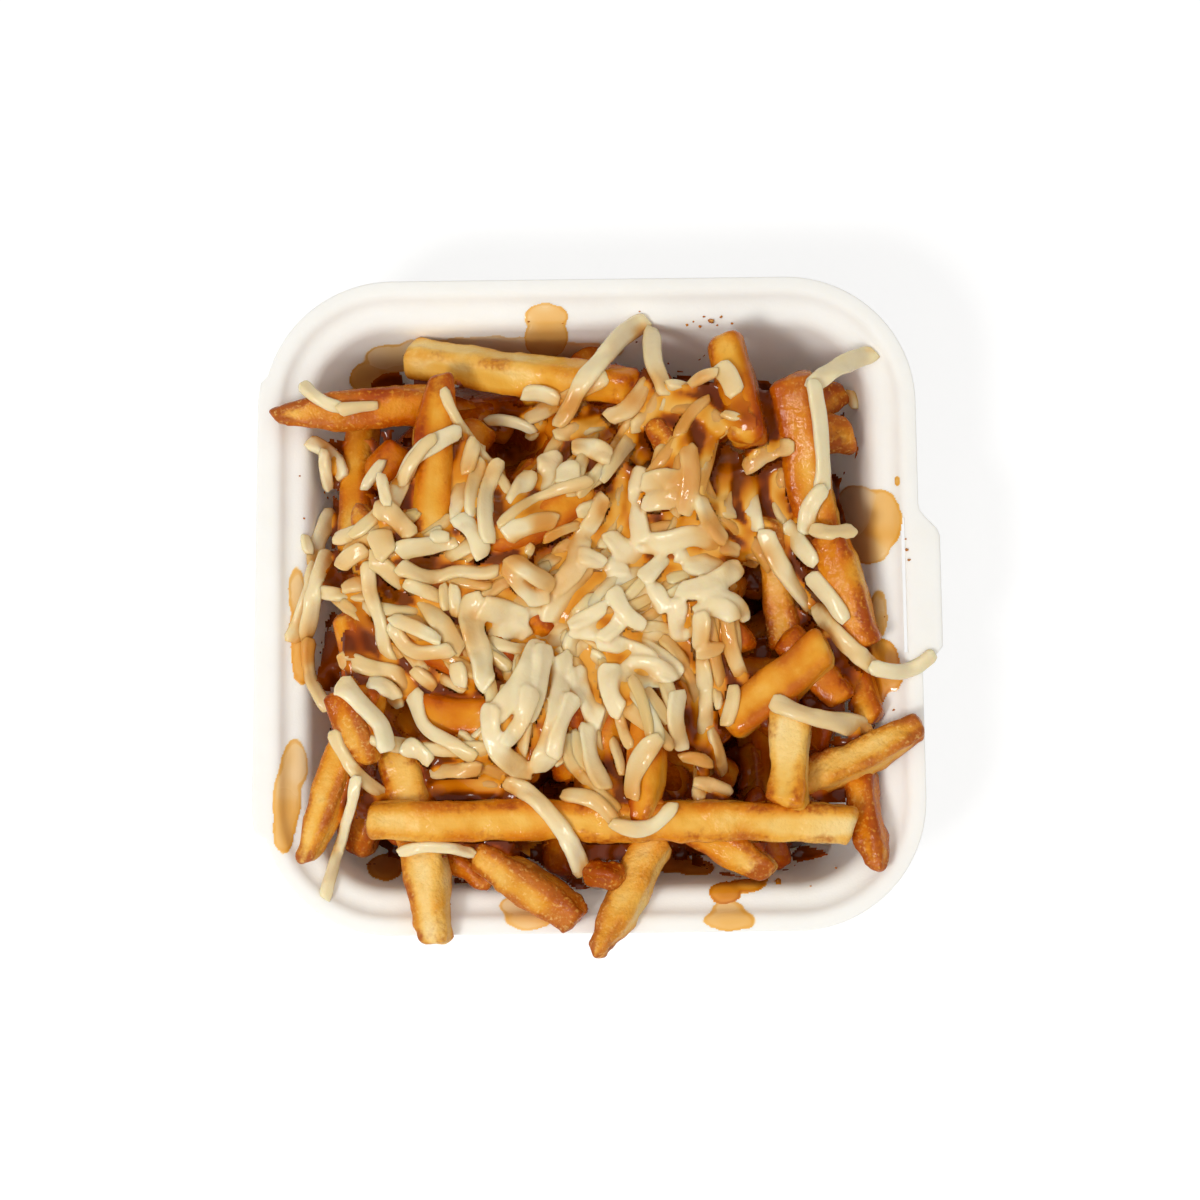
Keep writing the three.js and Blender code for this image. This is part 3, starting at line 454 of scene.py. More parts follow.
def fry_mesh(start, end, wide, roll, tips, bow, rough, wet, seed, step, around):
    """Rings of a fry along its line: a squarish section, near |a|^p + |b|^p = half^p, whose p, width
    and height wander along it. Towards a cut end the rings close by (1 - s^2.5)^(1 / 2.5), and the
    cut is a little askew. Noise then pushes the skin out and in: broad dents, blisters, and crumbs
    along corners and tips."""
    rng = np.random.default_rng(seed)
    length = np.linalg.norm(end - start)
    along = (end - start) / length
    side = np.array([-along[1], along[0], 0]) / math.hypot(along[0], along[1])
    up = np.cross(along, side)
    cap = 1.7 + 1.6 * wet * (1 - rough)
    body = np.linspace(cap, length - cap, max(4, int(length / step)))
    near = cap * (1 - np.cos(np.linspace(0, math.pi / 2, 6)))[1:-1]
    places = np.concatenate([[0.02], near, body, length - near[::-1], [length - 0.02]])
    share = places / length
    from_end = np.minimum(places, length - places)
    closed = (1 - np.clip(1 - from_end / cap, 0, 1) ** 2.5) ** (1 / 2.5)
    angle = np.linspace(0, 2 * math.pi, around, endpoint=False)
    twist = math.radians(roll) + math.radians(14) * rng.uniform(-1, 1) * (share - 0.5)[:, None]

    def wander(scale, number):
        """Smooth noise along the fry, the same all round it."""
        along_it = [places / scale + seed * 3.7, np.full(len(places), number * 5.3), 0 * places]
        return lumps(np.column_stack(along_it), 1.0, 6)[:, None]

    c, s = np.cos(angle), np.sin(angle)
    ring_place = np.column_stack([np.repeat(places, around) / 9, np.tile(c, len(places)) * 1.3 + seed,
                                  np.tile(s, len(places)) * 1.3])
    power = (4.1 - 0.7 * wet + 1.5 * lumps(ring_place, 1.0, 8)).reshape(len(places), around).clip(2.3, 6)
    squareness = (np.abs(c) ** power + np.abs(s) ** power) ** (-1 / power)
    far = wide / 2 * (tip_size(share, tips) * closed)[:, None] * squareness * 0.99
    thin = rng.uniform(0.95, 1.05, 2)
    a = far * np.cos(angle + twist) * (thin[0] + 0.07 * wander(8, 1))
    b = far * np.sin(angle + twist) * (thin[1] + 0.07 * wander(8, 2))
    slant = rng.uniform(-0.4, 0.4, 2)
    askew = np.clip(1 - places / 4, 0, 1) * slant[0] + np.clip(1 - (length - places) / 4, 0, 1) * slant[1]
    middle = (start + (end - start) * share[:, None]
              + side * (bow * np.sin(math.pi * share)[:, None] + 0.45 * wander(13, 3)) + up * (0.3 * wander(11, 4)))
    points = (middle[:, None, :] + side * a[..., None] + up * b[..., None]
              + along * (askew[:, None] * a)[..., None]).reshape(-1, 3)
    outward = (side * np.cos(angle + twist)[..., None] + up * np.sin(angle + twist)[..., None]).reshape(-1, 3)
    cornered = smoothstep(1.0, 1.19, squareness).ravel()
    shifted = rng.uniform(0, 400, 3) + points
    dry = 1 - 0.75 * wet
    relief = 0.5 * lumps(shifted, 7.5, 1) - 0.22 * (1 - cornered)
    for size, least, more, number in ((3.2, 0.18, 0.3, 2), (1.6, 0.09, 0.3, 3)):
        relief += (least + more * rough) * dry * lumps(shifted, size, number)
    relief += cornered * (0.2 + 0.35 * rough) * dry * np.clip(lumps(shifted, 1.9, 5), 0, 1)
    tip_rough = np.repeat(np.clip(1 - from_end / 8, 0, 1), around)
    relief += tip_rough * rough * (0.8 * lumps(shifted, 2.6, 4) + 0.5 * lumps(shifted, 1.6, 9))
    outwards = (relief * np.repeat(np.clip(from_end / 1.2, 0.15, 1), around))[:, None]
    moved = points + outward * outwards
    at_cut = np.repeat(np.clip(1 - from_end / 1.5, 0, 1) * np.where(share < 0.5, -1, 1), around)
    moved += along * (at_cut * 0.6 * lumps(shifted + outward * outwards, 2.6, 7))[:, None]
    return moved, np.repeat(share, around), cornered, len(places), outward


heap = []                         # one part for the core and each fry: points, faces and values


def add_fry(start, end, wide, roll, tips, bow, looks, seed, glaze, rings):
    """Adds a fry to the heap. Its tips brown by a smooth step over their last 11 mm, its corners by
    their sharpness, both times noise; the film is what its row says, times noise, and a glaze lies
    where the skin faces its side."""
    tone, brown, gravy, rough = looks[0:2], looks[2:4], looks[4:7], looks[7]
    wet = float(np.clip(np.mean(gravy), 0, 1))
    points, share, cornered, count, outward = fry_mesh(start, end, wide, roll, tips, bow, rough, wet, seed, *rings)
    length = np.linalg.norm(end - start)
    patch, fine = lumps(points + seed, 5, 11), lumps(points + seed, 1.8, 17)
    at_tip = (brown[0] * smoothstep(TIP_BROWN, 0, share * length)
              + brown[1] * smoothstep(TIP_BROWN, 0, (1 - share) * length))
    browned = (at_tip * (0.6 + 0.5 * patch + 0.3 * fine) + cornered * (0.1 + 0.5 * rough + 0.4 * patch)
               + 0.35 * rough * np.clip(patch + 0.5 * fine, 0, 1))
    film = np.interp(share, (0, 0.5, 1), gravy)
    film = film * np.clip(0.85 + 0.9 * lumps(points - seed, 7, 12) + 0.25 * fine, 0.06, 2)
    if glaze:
        direction, depth, ending = glaze
        facing = outward[:, :2] @ (math.cos(math.radians(direction)), math.sin(math.radians(direction)))
        film = film + depth * smoothstep(0.1, 0.6, facing + 0.3 * patch) * np.clip(1 - ending * np.abs(share - 0.45), 0, 1)
    toned = tone[0] + (tone[1] - tone[0]) * share + 0.4 * lumps(points + seed, 8, 13)
    heap.append({"points": points, "faces": skin(count, rings[1]), "film": np.clip(film, 0, 3),
                 "tone": toned + 0.55 * (cornered - 0.35) + 0.3 * at_tip,
                 "brown": np.clip(browned, 0, 1.2), "rough": np.full(len(points), rough)})


# The core shows only in the depth of the gaps: potato under thick gravy, kept dark so that it
# also gives the deep gaps their painted shade. It lies a little under the core height, and falls away
# at its edge.
core_shares = np.concatenate([np.linspace(0.96, 0.9, 5), np.linspace(0.88, 0.02, 36)])
angle = np.linspace(0, 2 * math.pi, CORE_AROUND, endpoint=False)
far = HEAP_HALF / (np.abs(np.cos(angle)) ** 5 + np.abs(np.sin(angle)) ** 5) ** 0.2
core_rings = []
for share in core_shares:
    x, y = far * share * np.cos(angle), far * share * np.sin(angle)
    z = np.clip(core_height(x, y) - 3.0, POOL_TOP - 1, None) - 12 * smoothstep(0.8, 0.95, share)
    core_rings.append(np.column_stack([x, y, np.maximum(tray_height(x, y) + 0.4, z)]))
core_points = np.vstack(core_rings)
even = np.ones(len(core_points))
heap.append({"points": core_points, "faces": skin(len(core_rings), CORE_AROUND), "tone": 0.8 * even,
             "brown": 0.5 * even, "film": 1.1 + 0.5 * lumps(core_points, 7, 5), "rough": 0.6 * even})

filler = np.random.default_rng(7)
for index in range(FILL_FRIES):
    spread = FILL_SPREAD * math.sqrt((index + 0.5) / FILL_FRIES)
    x, y = spread * math.cos(index * SPIRAL), spread * math.sin(index * SPIRAL)
    turn, half = filler.uniform(0, math.pi), filler.uniform(9, 17)
    if any(math.hypot(x - hx, y - hy) < radius for hx, hy, radius, _ in HOLLOWS):
        continue
    ends = np.array([[x + way * half * math.cos(turn), y + way * half * math.sin(turn)] for way in (-1, 1)])
    ends = ends * np.minimum(1, 0.93 / np.maximum(heap_spread(*ends.T), 0.01))[:, None]
    middle = core_height(*ends.mean(0)) - 3.0
    heights = np.clip(core_height(*ends.T) - 3.2, middle - 6, middle + 6)
    heights = np.maximum(heights, tray_height(*ends.T) + 4.5)
    add_fry(np.append(ends[0], heights[0]), np.append(ends[1], heights[1]), filler.uniform(8, 9.4),
            filler.uniform(0, 45), (1, 1), 0, (0.6, 0.6, 0.3, 0.3, 0.8, 0.9, 0.8, 0.4), 500 + index, None, FILL_RINGS)


def lay_fry(row, sink, worn, seed):
    """Lays a fry as the solids do, and adds its fine mesh to the heap. Where it lies decides where it
    is seen, so its heights are found twice; the draws keep step with those of the solids."""
    x1, y1, x2, y2, wide, roll = row[:6]
    tips, half = row[6:8], wide / 2
    section = fry_section(half, math.radians(roll), worn)
    reach = max(b for _, b in section)
    z1 = z2 = RIM_HEIGHT
    for _ in range(2):
        z1, z2 = rest_like_beam(seen_from(x1, y1, z1), seen_from(x2, y2, z2), half, reach, sink)
    start, end = seen_from(x1, y1, z1), seen_from(x2, y2, z2)
    length = np.linalg.norm(end - start)
    bow = (draw() - 0.5) * length * FRY_BOW
    sections = (4 if worn else 2) + (tips[0] < 1) + (tips[1] < 1) + (tips == (1, 1) and length > LONG_FRY)
    draw(sections * len(section))
    raise_heights(start, end, section, lambda share: tip_size(share, tips))
    add_fry(start, end, wide, roll, tips, bow, row[8:] or UNDER_LOOKS, seed, GLAZED.get((x1, y1)),
            FINE_RINGS if worn else PLAIN_RINGS)


for index in range(UNDER_FRIES):
    spread = UNDER_SPREAD * math.sqrt((index + 0.5) / UNDER_FRIES)
    x, y = spread * math.cos(index * SPIRAL), spread * math.sin(index * SPIRAL)
    turn, half = draw() * math.pi, 12 + 8 * draw()
    dx, dy = half * math.cos(turn), half * math.sin(turn)
    lay_fry((x - dx, y - dy, x + dx, y + dy, 8 + draw(), 45 * draw(), 0.8, 0.8), UNDER_SINK, False, 400 + index)
for index, row in enumerate(FRIES):
    lay_fry(row, SINK, index >= PLAIN_FRIES, index)


def value_of(tree, name):
    """The socket that carries a mesh's own value for each point."""
    return add(tree, "ShaderNodeAttribute", attribute_name=name).outputs["Fac"]


def calc(tree, operation, a, b=0.0, clamp=False):
    """A number worked out from two, held between 0 and 1 if clamp says so."""
    return add(tree, "ShaderNodeMath", {0: a, 1: b}, operation=operation, use_clamp=clamp).outputs[0]


def ranged(tree, value, low, high, to_low=0.0, to_high=1.0, kind="LINEAR"):
    """A number moved from one range to another and held within it."""
    return add(tree, "ShaderNodeMapRange", {0: value, 1: low, 2: high, 3: to_low, 4: to_high},
               interpolation_type=kind).outputs[0]


def uneven(tree, value, size_mm, detail, amount):
    """value + amount * (noise - 0.5)."""
    noise = calc(tree, "SUBTRACT", grain(tree, size_mm, detail), 0.5)
    return calc(tree, "ADD", value, calc(tree, "MULTIPLY", noise, amount))


# A film of brown gravy takes light away channel by channel: what is left of red, green and blue
# after one unit of depth is below, and a film twice as deep takes it away twice. Red holds out in a
# thin film, which looks amber, and gives way faster in a deep one.
GRAVY_LEFT = (0.9, 0.45, 0.055)
RED_GIVES_WAY = 1.0

gravy_group = bpy.data.node_groups.new("gravy_film", "ShaderNodeTree")
for way, socket, kind in (("INPUT", "Color", "NodeSocketColor"), ("INPUT", "Film", "NodeSocketFloat"),
                          ("OUTPUT", "Color", "NodeSocketColor"), ("OUTPUT", "Wet", "NodeSocketFloat")):
    gravy_group.interface.new_socket(socket, in_out=way, socket_type=kind)
given = add(gravy_group, "NodeGroupInput")
film = calc(gravy_group, "MAXIMUM", given.outputs["Film"], 0.0)
faster = calc(gravy_group, "ADD", calc(gravy_group, "MULTIPLY", film, RED_GIVES_WAY), 1.0)
depths = (calc(gravy_group, "MULTIPLY", film, faster), film, film)
left = [calc(gravy_group, "POWER", share, depth) for share, depth in zip(GRAVY_LEFT, depths)]
tint = add(gravy_group, "ShaderNodeCombineColor", {"Red": left[0], "Green": left[1], "Blue": left[2]}).outputs[0]
add(gravy_group, "NodeGroupOutput", {"Color": mix(gravy_group, 1.0, given.outputs["Color"], tint, "MULTIPLY"),
                                     "Wet": ranged(gravy_group, film, 0.03, 0.4, kind="SMOOTHSTEP")})


def under_gravy(tree, color, film):
    """Colour and wetness of a surface with that much gravy over it."""
    return add(tree, "ShaderNodeGroup", {"Color": color, "Film": film}, node_tree=gravy_group).outputs


potato, tree, principled = shader(
    "fried_potato", IOR=1.33, Specular_IOR_Level=0.36,
    Subsurface_Weight=0.06, Subsurface_Radius=(1.0, 0.5, 0.2), Subsurface_Scale=0.0015)
rough = value_of(tree, "rough")
flesh = add(tree, "ShaderNodeValToRGB", {"Fac": uneven(tree, value_of(tree, "tone"), 5, 4.0, 0.8)})
ramp = flesh.color_ramp
ramp.elements[0].color, ramp.elements[1].color = srgb(242, 212, 148), srgb(196, 114, 34)
for place, shade in ((0.32, (236, 188, 98)), (0.65, (224, 156, 50))):
    ramp.elements.new(place).color = srgb(*shade)
crisp = ranged(tree, uneven(tree, value_of(tree, "brown"), 1.3, 5.0, 1.1), 0.22, 0.95, kind="SMOOTHSTEP")
baked = mix(tree, crisp, flesh.outputs[0], srgb(172, 92, 30))
blistered = calc(tree, "MULTIPLY", ranged(tree, grain(tree, 0.9, 3.0), 0.55, 0.7, 0.0, 0.5),
                 calc(tree, "ADD", calc(tree, "MULTIPLY", rough, 0.9), 0.2))
coated = under_gravy(tree, mix(tree, blistered, baked, srgb(246, 208, 132)), value_of(tree, "film"))
dry = calc(tree, "SUBTRACT", 1.0, calc(tree, "MULTIPLY", coated["Wet"], 0.9))
crusty = calc(tree, "ADD", calc(tree, "MULTIPLY", dry, 0.45), calc(tree, "MULTIPLY", rough, 0.4))
wire(tree, principled, Base_Color=coated["Color"], Roughness=ranged(tree, coated["Wet"], 0.0, 1.0, 0.42, 0.13),
     Normal=bump(tree, grain(tree, 1.1, 4.0), 0.0008, crusty, bump(tree, grain(tree, 3.2, 2.0), 0.0006, 0.2)))


def joined(parts):
    """One mesh of several, each its points and its faces: a part's faces count on from the points
    of the parts before it."""
    faces, base = [], 0
    for points, own_faces in parts:
        faces += [[v + base for v in face] for face in own_faces]
        base += len(points)
    return np.vstack([points for points, _ in parts]), faces


heap_points, heap_faces = joined([(part["points"], part["faces"]) for part in heap])
heap_values = {key: np.concatenate([part[key] for part in heap]) for key in ("tone", "brown", "film", "rough")}
fries = piece("fries_heap", heap_points, heap_faces, potato, "fried_potato", **heap_values)
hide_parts("fries")

# ---------------------------------------------------------------- cheese
# Grated mozzarella: flat strips, soft and glossy, ivory where they are clean and caramel where
# gravy has run over them; where they lie deep between others they are darker still, partly gravy
# and partly painted shade. In the middle they have melted into each other.
SHRED_THICK, DRAPE_STEP, STRIP_AROUND, STRIP_POWER = 2.1, 0.9, 16, 3.2
# Each row: ends x, y, x, y; bow to the left; width.
MELTED_SHREDS = [
    (-28, 2, -23.5, -19.5, -1.5, 5.2), (-26, -2, -15, -5, 1, 5.5), (-20.5, 8.5, -12, -1, 1, 4.6),
    (-9.5, -5, .5, 7.5, 1.5, 4.6), (-8, 2, 2.5, 25, -1, 4.2), (3.5, 15, 12, 11.5, -1, 4.4),
    (10, 12, 34, 11.5, 2.4, 4.6), (19, 9, 30, 6.5, 1, 5.6), (20, 2, 34.5, 7, -1, 4.6),
    (27, 0, 35.2, -5, 2.6, 3.4), (24, -2.5, 33, -5, 2, 4), (12.5, 31, 11.5, 13.5, -1.5, 4.2),
    (12, 28, 21, 27.2, .5, 4.4), (12.5, 23.5, 20, 22.5, .5, 4), (-9, 34.5, -12, 25.5, 1, 5.2),
    (-7.5, 29.5, -2.5, 30, .5, 5.4), (-4, 36, 4.5, 33, 1, 4.4), (22.5, 36, 21.5, 20, 1, 4.2),
    (25, 24, 31, 13.5, -1, 4), (-5, -7, 20, -18, 3, 4.4), (1, -10, 15, -14.5, 1, 4.2),
    (7, -16, 18.5, -18.8, 2, 4.6), (-13, -9, -24, -27, 1.5, 5.2), (-24, -24, -15, -39.5, -3.5, 5),
    (-12, -10, -16, -27, 1, 5), (-8, -12, -12.5, -39, 1.5, 5.2), (-5, -16, 1.5, -28, -1, 5.4),
    (3.5, -15, 6, -26, -1.5, 5), (-2, -29, 2.5, -43.5, -1.2, 4.6), (19.5, 0, 20, -9, -.5, 4.6),
    (24.5, -3, 24.5, -11, .5, 4.6), (19.5, -21, 20.5, -34.5, -1, 5), (13.5, 3.5, 17, -2.5, .5, 4.4),
    (-5, -6, 3, -1, 0, 4), (-19, 10, -9, 4, 0, 5), (-20, 15.5, -8, 19, 1, 5), (-24, -7, -15, -8, 1, 6),
    (3, 8.5, 8.5, 7, 0, 4), (-3, 11, 3, 9, 0, 4), (11.5, 5, 17, 10, 0, 4), (24, -12, 30, -11, 0, 3.5),
    (-14, -20, -20, -33, 1, 4.5), (-4, -22, -9, -36, -1, 4.5), (8, -2, 2, -9, 1, 4.2), (5, 3, 12, -6, -1, 4.4),
]
LOOSE_SHREDS = [
    (-8, 38.5, 3.5, 42.5, -1, 4), (12.8, 51.8, 4.5, 42.5, 1, 4), (17, 50, 10, 40.5, 1, 4),
    (31.5, 34, 33, 19, -2, 3.6), (36.5, 29, 39, 16, -1, 3.8), (17, 46, 31.5, 38.5, 2.4, 4.6),
    (13.8, 66, -7.5, 41, -2.6, 4.4), (15, 63.5, 17.3, 48, -.5, 4), (-15.5, 49, -7, 47.5, 1, 3.6),
    (-47, 21.5, -30, 40, 3.4, 4.2), (-44, 28, -35.5, 38.5, 1.6, 3), (-27.5, 37, -31, 18.5, -1, 4.6),
    (-31, 20, -25.5, 10.5, 2, 4.8), (-24.5, 33, -27.5, 20, -1, 4), (-20.5, 33, -24, 14, -2, 4),
    (-65, 38.5, -57.5, 29.5, 1.6, 4.4), (-66.5, 52, -57.5, 46, -1, 3.4), (-58.5, 45.8, -49.5, 46.6, 0, 3),
    (-59.5, 21, -64.5, 8.5, -1, 4.8), (-64, 9, -69.5, -8.5, .5, 4), (-61, 12, -65.5, -8, -1.4, 4.2),
    (-65.5, -8, -61, -24.5, -2, 3.6), (-58, 8.2, -51.8, 12.5, .6, 4.6), (-57, 3, -51.5, 4.5, .5, 4.2),
    (-52.3, 9.5, -43, -19, -1.6, 3.8), (-51.5, 10.5, -30, -11, 1.8, 5), (-46.5, -5, -32.5, -11.5, -3, 4),
    (-44.5, 11, -31, 13.5, 1.4, 5), (-44.5, 7.8, -21.5, 8, -1.6, 4), (-50.5, 21.5, -41.5, 15.5, 2, 5),
    (-58.5, -14, -40.5, -23, 3.4, 4.4), (-41.5, -21, -27, -35.5, -3, 3.8), (-58.5, -18.5, -47.5, -34, 2, 5),
    (-51.5, -18.5, -45, -21.5, .8, 4.6), (-43.5, -32.5, -37.5, -36.8, .8, 4.8),
    (-59, -29, -47.5, -44.5, -2.6, 3.8), (-53.5, -40, -61, -67.5, -.8, 3), (-37, -42.4, -19, -43.5, .6, 4.2),
    (-44.5, -56.6, -27.5, -58, 1, 3), (-20, -41, -2.8, -62.5, 2.6, 4.4), (-7, -44.5, 5, -51.5, 2, 3.8),
    (4, -51, 18, -47, -3.6, 3.6), (15, -31.5, 8.8, -45.5, -2.2, 4.6), (43.5, 30, 46.2, 16, -1.6, 4.2),
    (45, 17.5, 51.8, 8, -.6, 4.2), (47, 36, 36, 30.5, -1.4, 4.4), (66.5, 58, 51.2, 49.5, -1, 4.6),
    (51.5, 51, 53.4, 25, 1, 4.2), (53.6, 26, 49.5, 15.2, -1.5, 4.2), (51, 15.4, 60.8, 15.4, -.8, 4.2),
    (39.5, 15.5, 52, -3.5, -1.4, 4.6), (51.2, -2.5, 65, -16.8, -1, 4.4), (64, -16.4, 78.5, -13.5, -2.6, 3.8),
    (50, 5, 58.2, -5.5, .5, 4.4), (41, -24, 63.5, -30, -1, 4.6), (29.8, 54.8, 34.2, 48, .8, 5),
    (-24, 42, -13, 40, 1.5, 3), (-14, 30, -18, 22, 0, 5), (-27, 38, -28.5, 30, 0, 4), (-62, 36, -60.5, 27, 0, 3),
    (-52.5, 27, -48.5, 33.5, 0, 3), (-48.5, 30, -47, 23, 0, 3), (-66, 16, -65, 12, 0, 3),
    (-46, -3, -35, -8.5, 0, 3.5), (-43, 5, -33, .5, 0, 3.4), (-37, 16, -33, 15.5, 0, 3), (-49, 17, -47, 11, 0, 5.5),
    (-34, 4, -33.5, -1.5, 0, 2.6), (-31.5, 4, -31, -3, 0, 3), (-31, -14, -30, -19, 0, 4.5),
    (-41, -15, -36, -19, 0, 4), (-37, -39, -26, -38.5, .6, 4), (20, -36, 27, -37.5, .5, 3.4),
    (27, -30, 29.5, -40, .6, 3.4), (23, -42, 31, -44.5, .5, 4), (4, -32, 6.5, -40, .3, 2.6),
    (60.5, 48.5, 61.5, 44.5, 0, 3), (32, -20, 30, -29, .5, 4), (31, 43, 35, 42, 0, 2.6),
    (21, 38, 28, 47, 1, 3.6), (18, 50, 25, 48, .5, 3), (24, 50, 30, 53, .5, 3), (-21, 17.5, 0, 28.5, 1.5, 2.6),
]
SHEET_X, SHEET_Y, SHEET_REACH_X, SHEET_REACH_Y, SHEET_THICK, SHEET_SINK = 2.0, -6.0, 24.0, 26.0, 2.0, 1.9
SHEET_RINGS, SHEET_SPOKES = 26, 110
MELT_VOXEL, MELT_ROUNDS, MELT_FULLER = 0.4, 2, 0.3


def heights_of(points, faces):
    """The top of a mesh on a fine grid, felt for from above with rays."""
    solid = BVHTree.FromPolygons(points.tolist(), faces)
    side = int(2 * FIELD_HALF / FIELD_STEP) + 1
    out = np.zeros((side, side))
    for row, column in np.ndindex(side, side):
        spot = Vector((column * FIELD_STEP - FIELD_HALF, row * FIELD_STEP - FIELD_HALF, 90))
        hit = solid.ray_cast(spot, Vector((0, 0, -1)))[0]
        if hit:
            out[row, column] = hit.z
    return out


grid = heights_of(*joined([(tray_points, tray_faces), (heap_points, heap_faces)]))
grid_before = grid.copy()


def plan(row, seed):
    """A shred seen from above: a shallow arc, 4 bow s (1 - s) off its chord, with a slight waver."""
    x1, y1, x2, y2, bow, wide = row
    chord = math.hypot(x2 - x1, y2 - y1)
    count = max(5, int(chord * (1 + 2 * (bow / chord) ** 2) / DRAPE_STEP) + 1)
    share = np.linspace(0, 1, count)
    waver = lumps(np.column_stack([share * chord, np.full(count, seed), np.zeros(count)]), 7, 9)
    out = bow * 4 * share * (1 - share) / chord + 0.9 / chord * waver
    return np.column_stack([x1 + (x2 - x1) * share - (y2 - y1) * out, y1 + (y2 - y1) * share + (x2 - x1) * out])


def drape(flat, wide, stiffness, sink, seed):
    """The route of a shred and its sideways tilt, laid on the grid's heights: each point is as high
    as the most of support - distance^2 / (2 stiffness) over all of the shred, so it bridges gaps and
    droops past edges. It then raises the grid itself."""
    rng = np.random.default_rng(seed)
    count = len(flat)
    travelled = DRAPE_STEP * np.arange(count)
    tangent = np.gradient(flat, axis=0)
    side = np.column_stack([-tangent[:, 1], tangent[:, 0]]) / np.linalg.norm(tangent, axis=1)[:, None]
    apart = DRAPE_STEP * (np.arange(count)[:, None] - np.arange(count)[None, :])
    heights = np.full(count, RIM_HEIGHT)
    for _ in range(3):
        shares = ((EYE[2] - heights) / (EYE[2] - RIM_HEIGHT))[:, None]
        spot = EYE[:2] + (flat - EYE[:2]) * shares
        right, under, left = [read_grid(grid, *(spot + side * far * wide).T, FIELD_STEP) for far in (-0.35, 0, 0.35)]
        tilt = np.clip((left - right) / (0.7 * wide), -0.75, 0.75)
        edges = np.maximum(right + 0.35 * wide * tilt, left - 0.35 * wide * tilt)
        support = np.maximum(under, edges * 0.7 + 0.3 * under)
        heights = np.max(support[None, :] - apart ** 2 / (2 * stiffness), axis=1)
    for _ in range(2):
        heights, tilt = [np.convolve(np.pad(each, 1, "edge"), (0.25, 0.5, 0.25), "valid") for each in (heights, tilt)]
    heights = heights + SHRED_THICK / 2 - sink
    route = np.array([seen_from(x, y, z) for (x, y), z in zip(flat, heights)])
    width = wide * (1 + 0.22 * lumps(np.column_stack([travelled, travelled * 0, np.full(count, seed)]), 6, 10))
    for ends in (travelled, travelled[::-1]):
        taper = rng.choice([0.3, 0.8, 1.6, 2.4])
        width = width * (0.68 + 0.32 * np.sqrt(np.clip(ends / taper, 0, 1)))
        route[:, 2] -= 0.5 * rng.uniform(0, 1) * np.clip(1 - ends / 4, 0, 1)
    thick = SHRED_THICK * rng.uniform(0.75, 1.1)
    side3 = np.column_stack([side, tilt])
    side3 /= np.linalg.norm(side3, axis=1)[:, None]
    for far in np.linspace(-0.4, 0.4, 7):
        spot = route + side3 * (far * width)[:, None]
        column, line = [np.clip(np.rint((each + FIELD_HALF) / FIELD_STEP).astype(int), 0, len(grid) - 1)
                        for each in (spot[:, 0], spot[:, 1])]
        top = spot[:, 2] + thick / 2 * (1 - 0.3 * abs(far) / 0.4)
        for dc, dr in [(i, j) for i in (-1, 0, 1) for j in (-1, 0, 1)]:
            cell = (np.clip(line + dr, 0, len(grid) - 1), np.clip(column + dc, 0, len(grid) - 1))
            np.maximum.at(grid, cell, top - 0.15 * (abs(dc) + abs(dr)))
    return route, side3, width, thick


def strip(route, side, width, thick, seed, fuller=0.0):
    """Rings of a flat ribbon: in section |a|^3.2 + |b|^3.2 = 1, times its width and thickness, with a
    ripple across it, ends cut askew, and the whole a little fuller if need be."""
    rng = np.random.default_rng(seed)
    tangent = np.gradient(route, axis=0)
    tangent /= np.linalg.norm(tangent, axis=1)[:, None]
    up = np.cross(tangent, side)
    up /= np.linalg.norm(up, axis=1)[:, None]
    side = np.cross(up, tangent)
    longer = 0.25
    route = np.vstack([route[:1] - tangent[:1] * longer, route, route[-1:] + tangent[-1:] * longer])
    side, up, tangent = (np.vstack([v[:1], v, v[-1:]]) for v in (side, up, tangent))
    width = np.concatenate([width[:1] * 0.86, width, width[-1:] * 0.86]) + fuller
    depth = np.full(len(route), thick) + 0.6 * fuller
    depth[[0, -1]] *= 0.7
    angle = np.linspace(0, 2 * math.pi, STRIP_AROUND, endpoint=False)
    c, s = np.cos(angle), np.sin(angle)
    round_off = (np.abs(c) ** STRIP_POWER + np.abs(s) ** STRIP_POWER) ** (-1 / STRIP_POWER)
    a, b = c * round_off / 2, s * round_off / 2
    b = b * (1 + 0.12 * np.cos(2 * math.pi * a * 1.5 + rng.uniform(0, 6)))
    ends = np.arange(len(route)) * DRAPE_STEP
    askew = sum(rng.uniform(-0.6, 0.6) * np.clip(1 - from_end / 2.5, 0, 1) for from_end in (ends, ends[::-1]))
    across = a[None, :] * width[:, None]
    return (route[:, None, :] + side[:, None, :] * across[..., None]
            + tangent[:, None, :] * (across * askew[:, None])[..., None]
            + up[:, None, :] * (b[None, :] * depth[:, None])[..., None])


def strips_mesh(strips):
    """One mesh of many strips."""
    return joined([(rings.reshape(-1, 3), skin(*rings.shape[:2])) for rings in strips])


